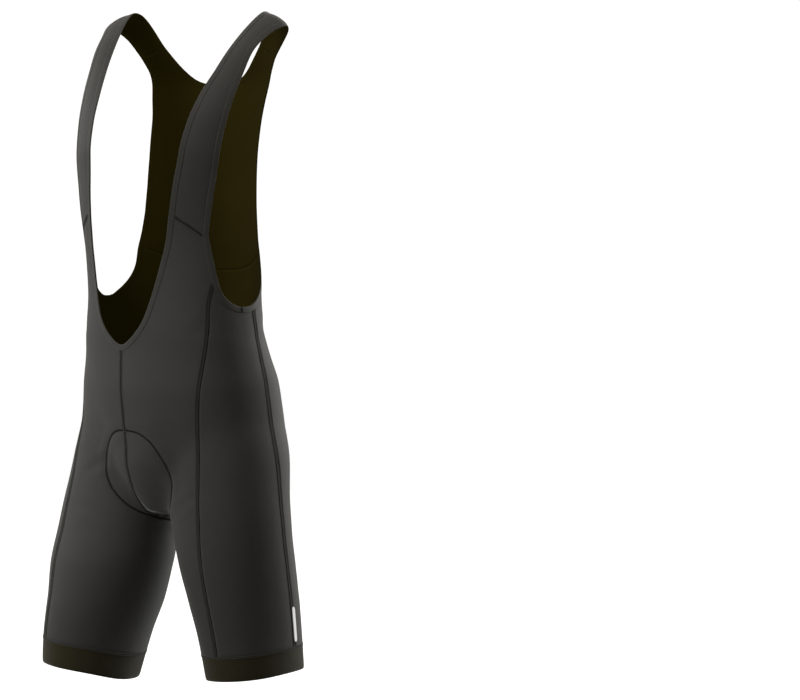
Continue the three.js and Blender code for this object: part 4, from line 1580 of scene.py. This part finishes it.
class Trims(Garment):
    """Bindings, flat seams and stitches, all run along the panels' own edges."""

    STEP = 2.5
    OVERLAP = 1.3
    ABOVE = 0.75
    BELOW = 1.75
    JOIN_ANGLE = 90
    JOIN_LIFT = 1.3
    SEAM_WIDTH = 6.4
    SEAM_RISE = 0.62
    SEAM_SHIFT = 2.9
    # The dark strip of painted shadow along each seam: its widths and its height.
    SHADOW_LINE_WIDTH = 1.3
    STRAP_SHADOW_LINE_WIDTH = 0.7
    SHADOW_LINE_RISE = 0.87
    STITCH_ASIDE = 2.3
    BAND_JOIN_TURN = 21
    PAD_LIFT = 0.35

    def __init__(self, wardrobe: Wardrobe, halves: dict[Side, Half], bib: BackBib,
                 straps: dict[Side, Strap]) -> None:
        """Keeps the panels."""
        super().__init__(wardrobe)
        self.halves, self.bib, self.straps = halves, bib, straps

    def neck_loop(self) -> Line:
        """The neck edge: up the left front, over the shoulder, round the scoop and down the right front."""
        left, right = self.halves[Side.LEFT].front, self.halves[Side.RIGHT].front
        part = slice(0, NECK_ROWS + 1)
        return left.column(0, part).reversed().then(
            self.straps[Side.LEFT].cloth.column(0),
            self.bib.scoop().reversed(),
            self.straps[Side.RIGHT].cloth.column(0).reversed(),
            right.column(0, part),
        ).even(self.STEP, closed=True)

    def armhole_loop(self, side: Side) -> Line:
        """The armhole edge: over the strap, down the back bib, round the low edge and up the front."""
        half = self.halves[side]
        return self.straps[side].cloth.column(-1).then(
            self.bib.armhole(side),
            half.side_back.row(0, slice(0, half.armhole_columns + 1)).reversed(),
            half.side_front.row(0).reversed(),
            half.front.column(-1, slice(0, BIB_FRONT_ROWS + 1)).reversed(),
        ).even(self.STEP, closed=True)

    def build_bindings(self) -> None:
        """The three folded bindings and their stitches."""
        profile = binding_profile(BINDING_WIDTH + self.OVERLAP, self.ABOVE, self.BELOW, -self.OVERLAP)
        loops = {
            "neck": (self.neck_loop(), 1),
            "armhole_left": (self.armhole_loop(Side.LEFT), -1),
            "armhole_right": (self.armhole_loop(Side.RIGHT), 1),
        }
        for name, (line, way) in loops.items():
            node = name + "_binding" if name == "neck" else name.replace("armhole", "armhole_binding")
            piece = carry(f"folded_{name}_binding", line, profile, True, way)
            self.finish(piece, "folded_binding", "inside_painted_shade_and_glow", node)
            rows = stitches(f"{name}_binding_stitches", [(line, [0.5 * way], True)], 0.55)
            self.finish(rows, "sewing_thread")
        for side in Side:
            self.binding_join(side)

    def binding_join(self, side: Side) -> None:
        """The short sewn join across an armhole's binding, at its lowest part, drawn as a dark strip of
        painted shadow.
        """
        level = float(ARMHOLE_LOW[side].at("level", self.JOIN_ANGLE))
        down = np.linspace(level + BINDING_WIDTH + 0.4, level - 0.8, 8)
        points = FIGURE.on_body(side, np.full(8, float(self.JOIN_ANGLE)), down)
        normals = FIGURE.normals(points)
        line = Line(points + normals * self.JOIN_LIFT, normals)
        join = carry(f"binding_join_{side.word}", line, flat_seam_profile(1.7, 0.5), False)
        self.finish(join, "seam_groove")

    def seam_lines(self) -> dict[str, tuple[Line, float]]:
        """Every flat seam's line, and how far its band lies to one side of it."""
        lines = {}
        left = self.halves[Side.LEFT]
        crotch = BODY_ROWS - INNER_ROWS
        front = left.front.column(0, slice(NECK_ROWS, crotch + BIB_FRONT_ROWS + 1))
        back = left.seat.column(0, slice(0, crotch + 1)).reversed()
        lines["middle"] = (front.then(back), 0)
        lines["waist"] = (self.bib.cloth.row(-1), 0)
        for side, half in self.halves.items():
            word, shift = side.word, -self.SEAM_SHIFT * side.value
            lines[f"front_{word}"] = (half.side_front.column(0), shift)
            lines[f"outer_{word}"] = (half.side_front.column(-1), shift)
            lines[f"back_{word}"] = (half.side_back.column(-1), shift)
            lines[f"strap_front_{word}"] = (self.straps[side].cloth.row(0), 0)
            lines[f"strap_back_{word}"] = (self.straps[side].cloth.row(-1), 0)
        return lines

    def build_seams(self) -> None:
        """The flat seams: a low band, a dark strip of painted shadow along the join itself and two rows of
        stitches.
        """
        rows = []
        for name, (line, shift) in self.seam_lines().items():
            even = line.even(self.STEP)
            band = flat_seam_profile(self.SEAM_WIDTH, self.SEAM_RISE, shift)
            self.finish(carry(f"flat_seam_{name}", even, band, False), "flat_seam")
            width = self.STRAP_SHADOW_LINE_WIDTH if "strap" in name else self.SHADOW_LINE_WIDTH
            shadow_line = flat_seam_profile(width, self.SHADOW_LINE_RISE)
            self.finish(carry(f"seam_groove_{name}", even, shadow_line, False), "seam_groove")
            rows.append((even, (shift - self.STITCH_ASIDE, shift + self.STITCH_ASIDE), False))
        self.finish(stitches("flat_seam_stitches", rows, self.SEAM_RISE - 0.2), "sewing_thread")

    def build_band_joins(self) -> None:
        """The stitched joins over the top of each hem band, and each band's own short join."""
        profile = flat_seam_profile(3.4, 0.5)
        rows = []
        for side, half in self.halves.items():
            ring = half.band.row(0, slice(0, -1)).even(self.STEP, closed=True)
            self.finish(carry(f"band_join_{side.word}", ring, profile, True), "flat_seam")
            rows.append((ring, (-1.2, 1.2), True))
            column = int(self.BAND_JOIN_TURN / 360 * half.band.points.shape[1])
            own = half.band.column(column).even(self.STEP)
            join = carry(f"band_end_join_{side.word}", own, flat_seam_profile(2.2, 0.4), False)
            self.finish(join, "gripper_band")
        self.finish(stitches("band_join_stitches", rows, 0.3), "light_thread")

    def build_pad_outline(self) -> None:
        """A dark strip of painted shade and two rows of stitches in the trough of the pad's outline."""
        outline = RELIEF.outline
        rise = RELIEF.height(outline.points)[:, None] + self.PAD_LIFT
        lowered = Line(outline.points + outline.normals * rise, outline.normals)
        sunk = carry("pad_outline_painted_shade", lowered, flat_seam_profile(4.0, 0.5), True)
        self.finish(sunk, "pad_line_painted_shade")
        self.finish(stitches("pad_outline_stitches", [(lowered, (-1.4, 1.4), True)], 0.12), "sewing_thread")

    def build(self) -> None:
        """Makes every trim."""
        self.build_bindings()
        self.build_seams()
        self.build_band_joins()
        self.build_pad_outline()


@dataclass(frozen=True)
class Lamp:
    """A square soft light: its turn from the camera, its place and size in metres, and its watts."""

    name: str
    turn: float
    distance: float
    level: float
    size: float
    power: float

    def add(self, azimuth: float, aim: Vector) -> None:
        """Adds it to the scene.

        Args:
            azimuth: the camera's, in degrees.
            aim: what it is turned to.
        """
        data = bpy.data.lights.new(self.name, "AREA")
        data.size = self.size
        data.energy = self.power
        turn = math.radians(azimuth + self.turn)
        lamp = bpy.data.objects.new(self.name, data)
        lamp.location = (self.distance * math.sin(turn), -self.distance * math.cos(turn), self.level)
        lamp.rotation_euler = (aim - lamp.location).to_track_quat("-Z", "Y").to_euler()
        bpy.context.scene.collection.objects.link(lamp)


@dataclass
class Studio:
    """The pale floor and wall, the soft lights and the camera."""

    azimuth: float = 51.4
    distance: float = 7.03
    camera_level: float = -0.16
    lens_pixels: float = 5055
    image_width: int = 800
    image_height: int = 700
    axis_column: float = 175.4
    horizon_row: float = 123.3
    floor_level: float = -1.0
    sensor: float = 36
    bowl_radius: float = 12
    bowl_corner: float = 3
    bowl_top: float = 9
    bowl_steps: int = 96
    bowl_glow: float = 1
    middle: tuple[float, float, float] = (0, 0, -0.45)
    world_colour: tuple[float, float, float] = (1, 0.88, 0.5)
    world_strength: float = 0.28
    lamps: tuple[Lamp, ...] = (
        Lamp("key", -55, 3.6, 1.3, 1.8, 104),
        Lamp("rim_left", -122, 3.2, 0.7, 1.6, 30),
        Lamp("rim_right", 118, 3.2, 0.4, 1.6, 92),
        Lamp("top", 0, 0.4, 3.0, 1.6, 34),
    )

    def camera(self) -> bpy.types.Object:
        """The camera at the photo's viewing angle, turned so that the garment falls in its left part."""
        data = bpy.data.cameras.new("studio_camera")
        data.sensor_width = self.sensor
        data.lens = self.lens_pixels / self.image_width * self.sensor
        data.clip_end = 60
        turn = math.radians(self.azimuth)
        back = Vector((math.sin(turn), -math.cos(turn), 0))
        right = Vector((math.cos(turn), math.sin(turn), 0))
        place = back * self.distance + Vector((0, 0, self.camera_level))
        aside = (self.image_width / 2 - self.axis_column) / self.lens_pixels
        down = (self.image_height / 2 - self.horizon_row) / self.lens_pixels
        direction = -back + right * aside - Vector((0, 0, 1)) * down
        camera = bpy.data.objects.new("studio_camera", data)
        camera.location = place
        camera.rotation_euler = direction.to_track_quat("-Z", "Y").to_euler()
        bpy.context.scene.collection.objects.link(camera)
        bpy.context.scene.camera = camera
        return camera

    def backdrop(self) -> bpy.types.Object:
        """A floor that curves up into a wall all round: a bowl of revolution with a round corner."""
        radius, corner, top = self.bowl_radius, self.bowl_corner, self.bowl_top
        bend = np.linspace(0, np.pi / 2, 12)
        reach = np.concatenate([[1e-5, radius - corner], radius - corner + corner * np.sin(bend), [radius]])
        level = np.concatenate([[0, 0], corner * (1 - np.cos(bend)), [top]]) + self.floor_level
        turn = np.linspace(0, 2 * np.pi, self.bowl_steps + 1)[:-1]
        across, along = reach[:, None] * np.cos(turn), reach[:, None] * np.sin(turn)
        points = np.stack(np.broadcast_arrays(across, along, level[:, None]), -1).reshape(-1, 3)
        quads = grid_faces(len(reach), self.bowl_steps, True, True)
        bowl = new_piece("studio_bowl", points / METRES, quads, points[quads][..., :2])
        material = bpy.data.materials.new("pale_studio")
        material.use_nodes = True
        shader = material.node_tree.nodes["Principled BSDF"]
        shader.inputs["Base Color"].default_value = (0.3, 0.3, 0.3, 1)
        shader.inputs["Roughness"].default_value = 0.9
        shader.inputs["Specular IOR Level"].default_value = 0.1
        shader.inputs["Emission Color"].default_value = (1, 1, 1, 1)
        tools = NodeTools(material.node_tree)
        seen = tools.add("ShaderNodeLightPath").outputs["Is Camera Ray"]
        tools.link(tools.math("MULTIPLY", seen, self.bowl_glow), shader.inputs["Emission Strength"])
        bowl.data.materials.append(material)
        return bowl

    def build(self) -> None:
        """Sets the whole studio."""
        self.camera()
        self.backdrop()
        for lamp in self.lamps:
            lamp.add(self.azimuth, Vector(self.middle))
        world = bpy.data.worlds.new("studio_world")
        world.use_nodes = True
        background = world.node_tree.nodes["Background"]
        background.inputs["Color"].default_value = (*self.world_colour, 1)
        background.inputs["Strength"].default_value = self.world_strength
        bpy.context.scene.world = world
        bpy.context.scene.view_settings.view_transform = "Standard"


def main() -> None:
    """Builds every sub-assembly in order."""
    logging.basicConfig(level=logging.INFO, format="%(message)s")
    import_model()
    wardrobe = Wardrobe()
    halves = {side: Half(wardrobe, side) for side in Side}
    bib = BackBib(wardrobe, halves)
    straps = {side: Strap(wardrobe, halves[side], bib) for side in Side}
    trims = Trims(wardrobe, halves, bib, straps)
    for assembly in (*halves.values(), bib, *straps.values(), trims):
        assembly.build()
        for piece in assembly.pieces:
            log.info("%s: %d faces", piece.name, len(piece.data.polygons))
    Studio().build()
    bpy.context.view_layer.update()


if __name__ == "__main__":
    main()
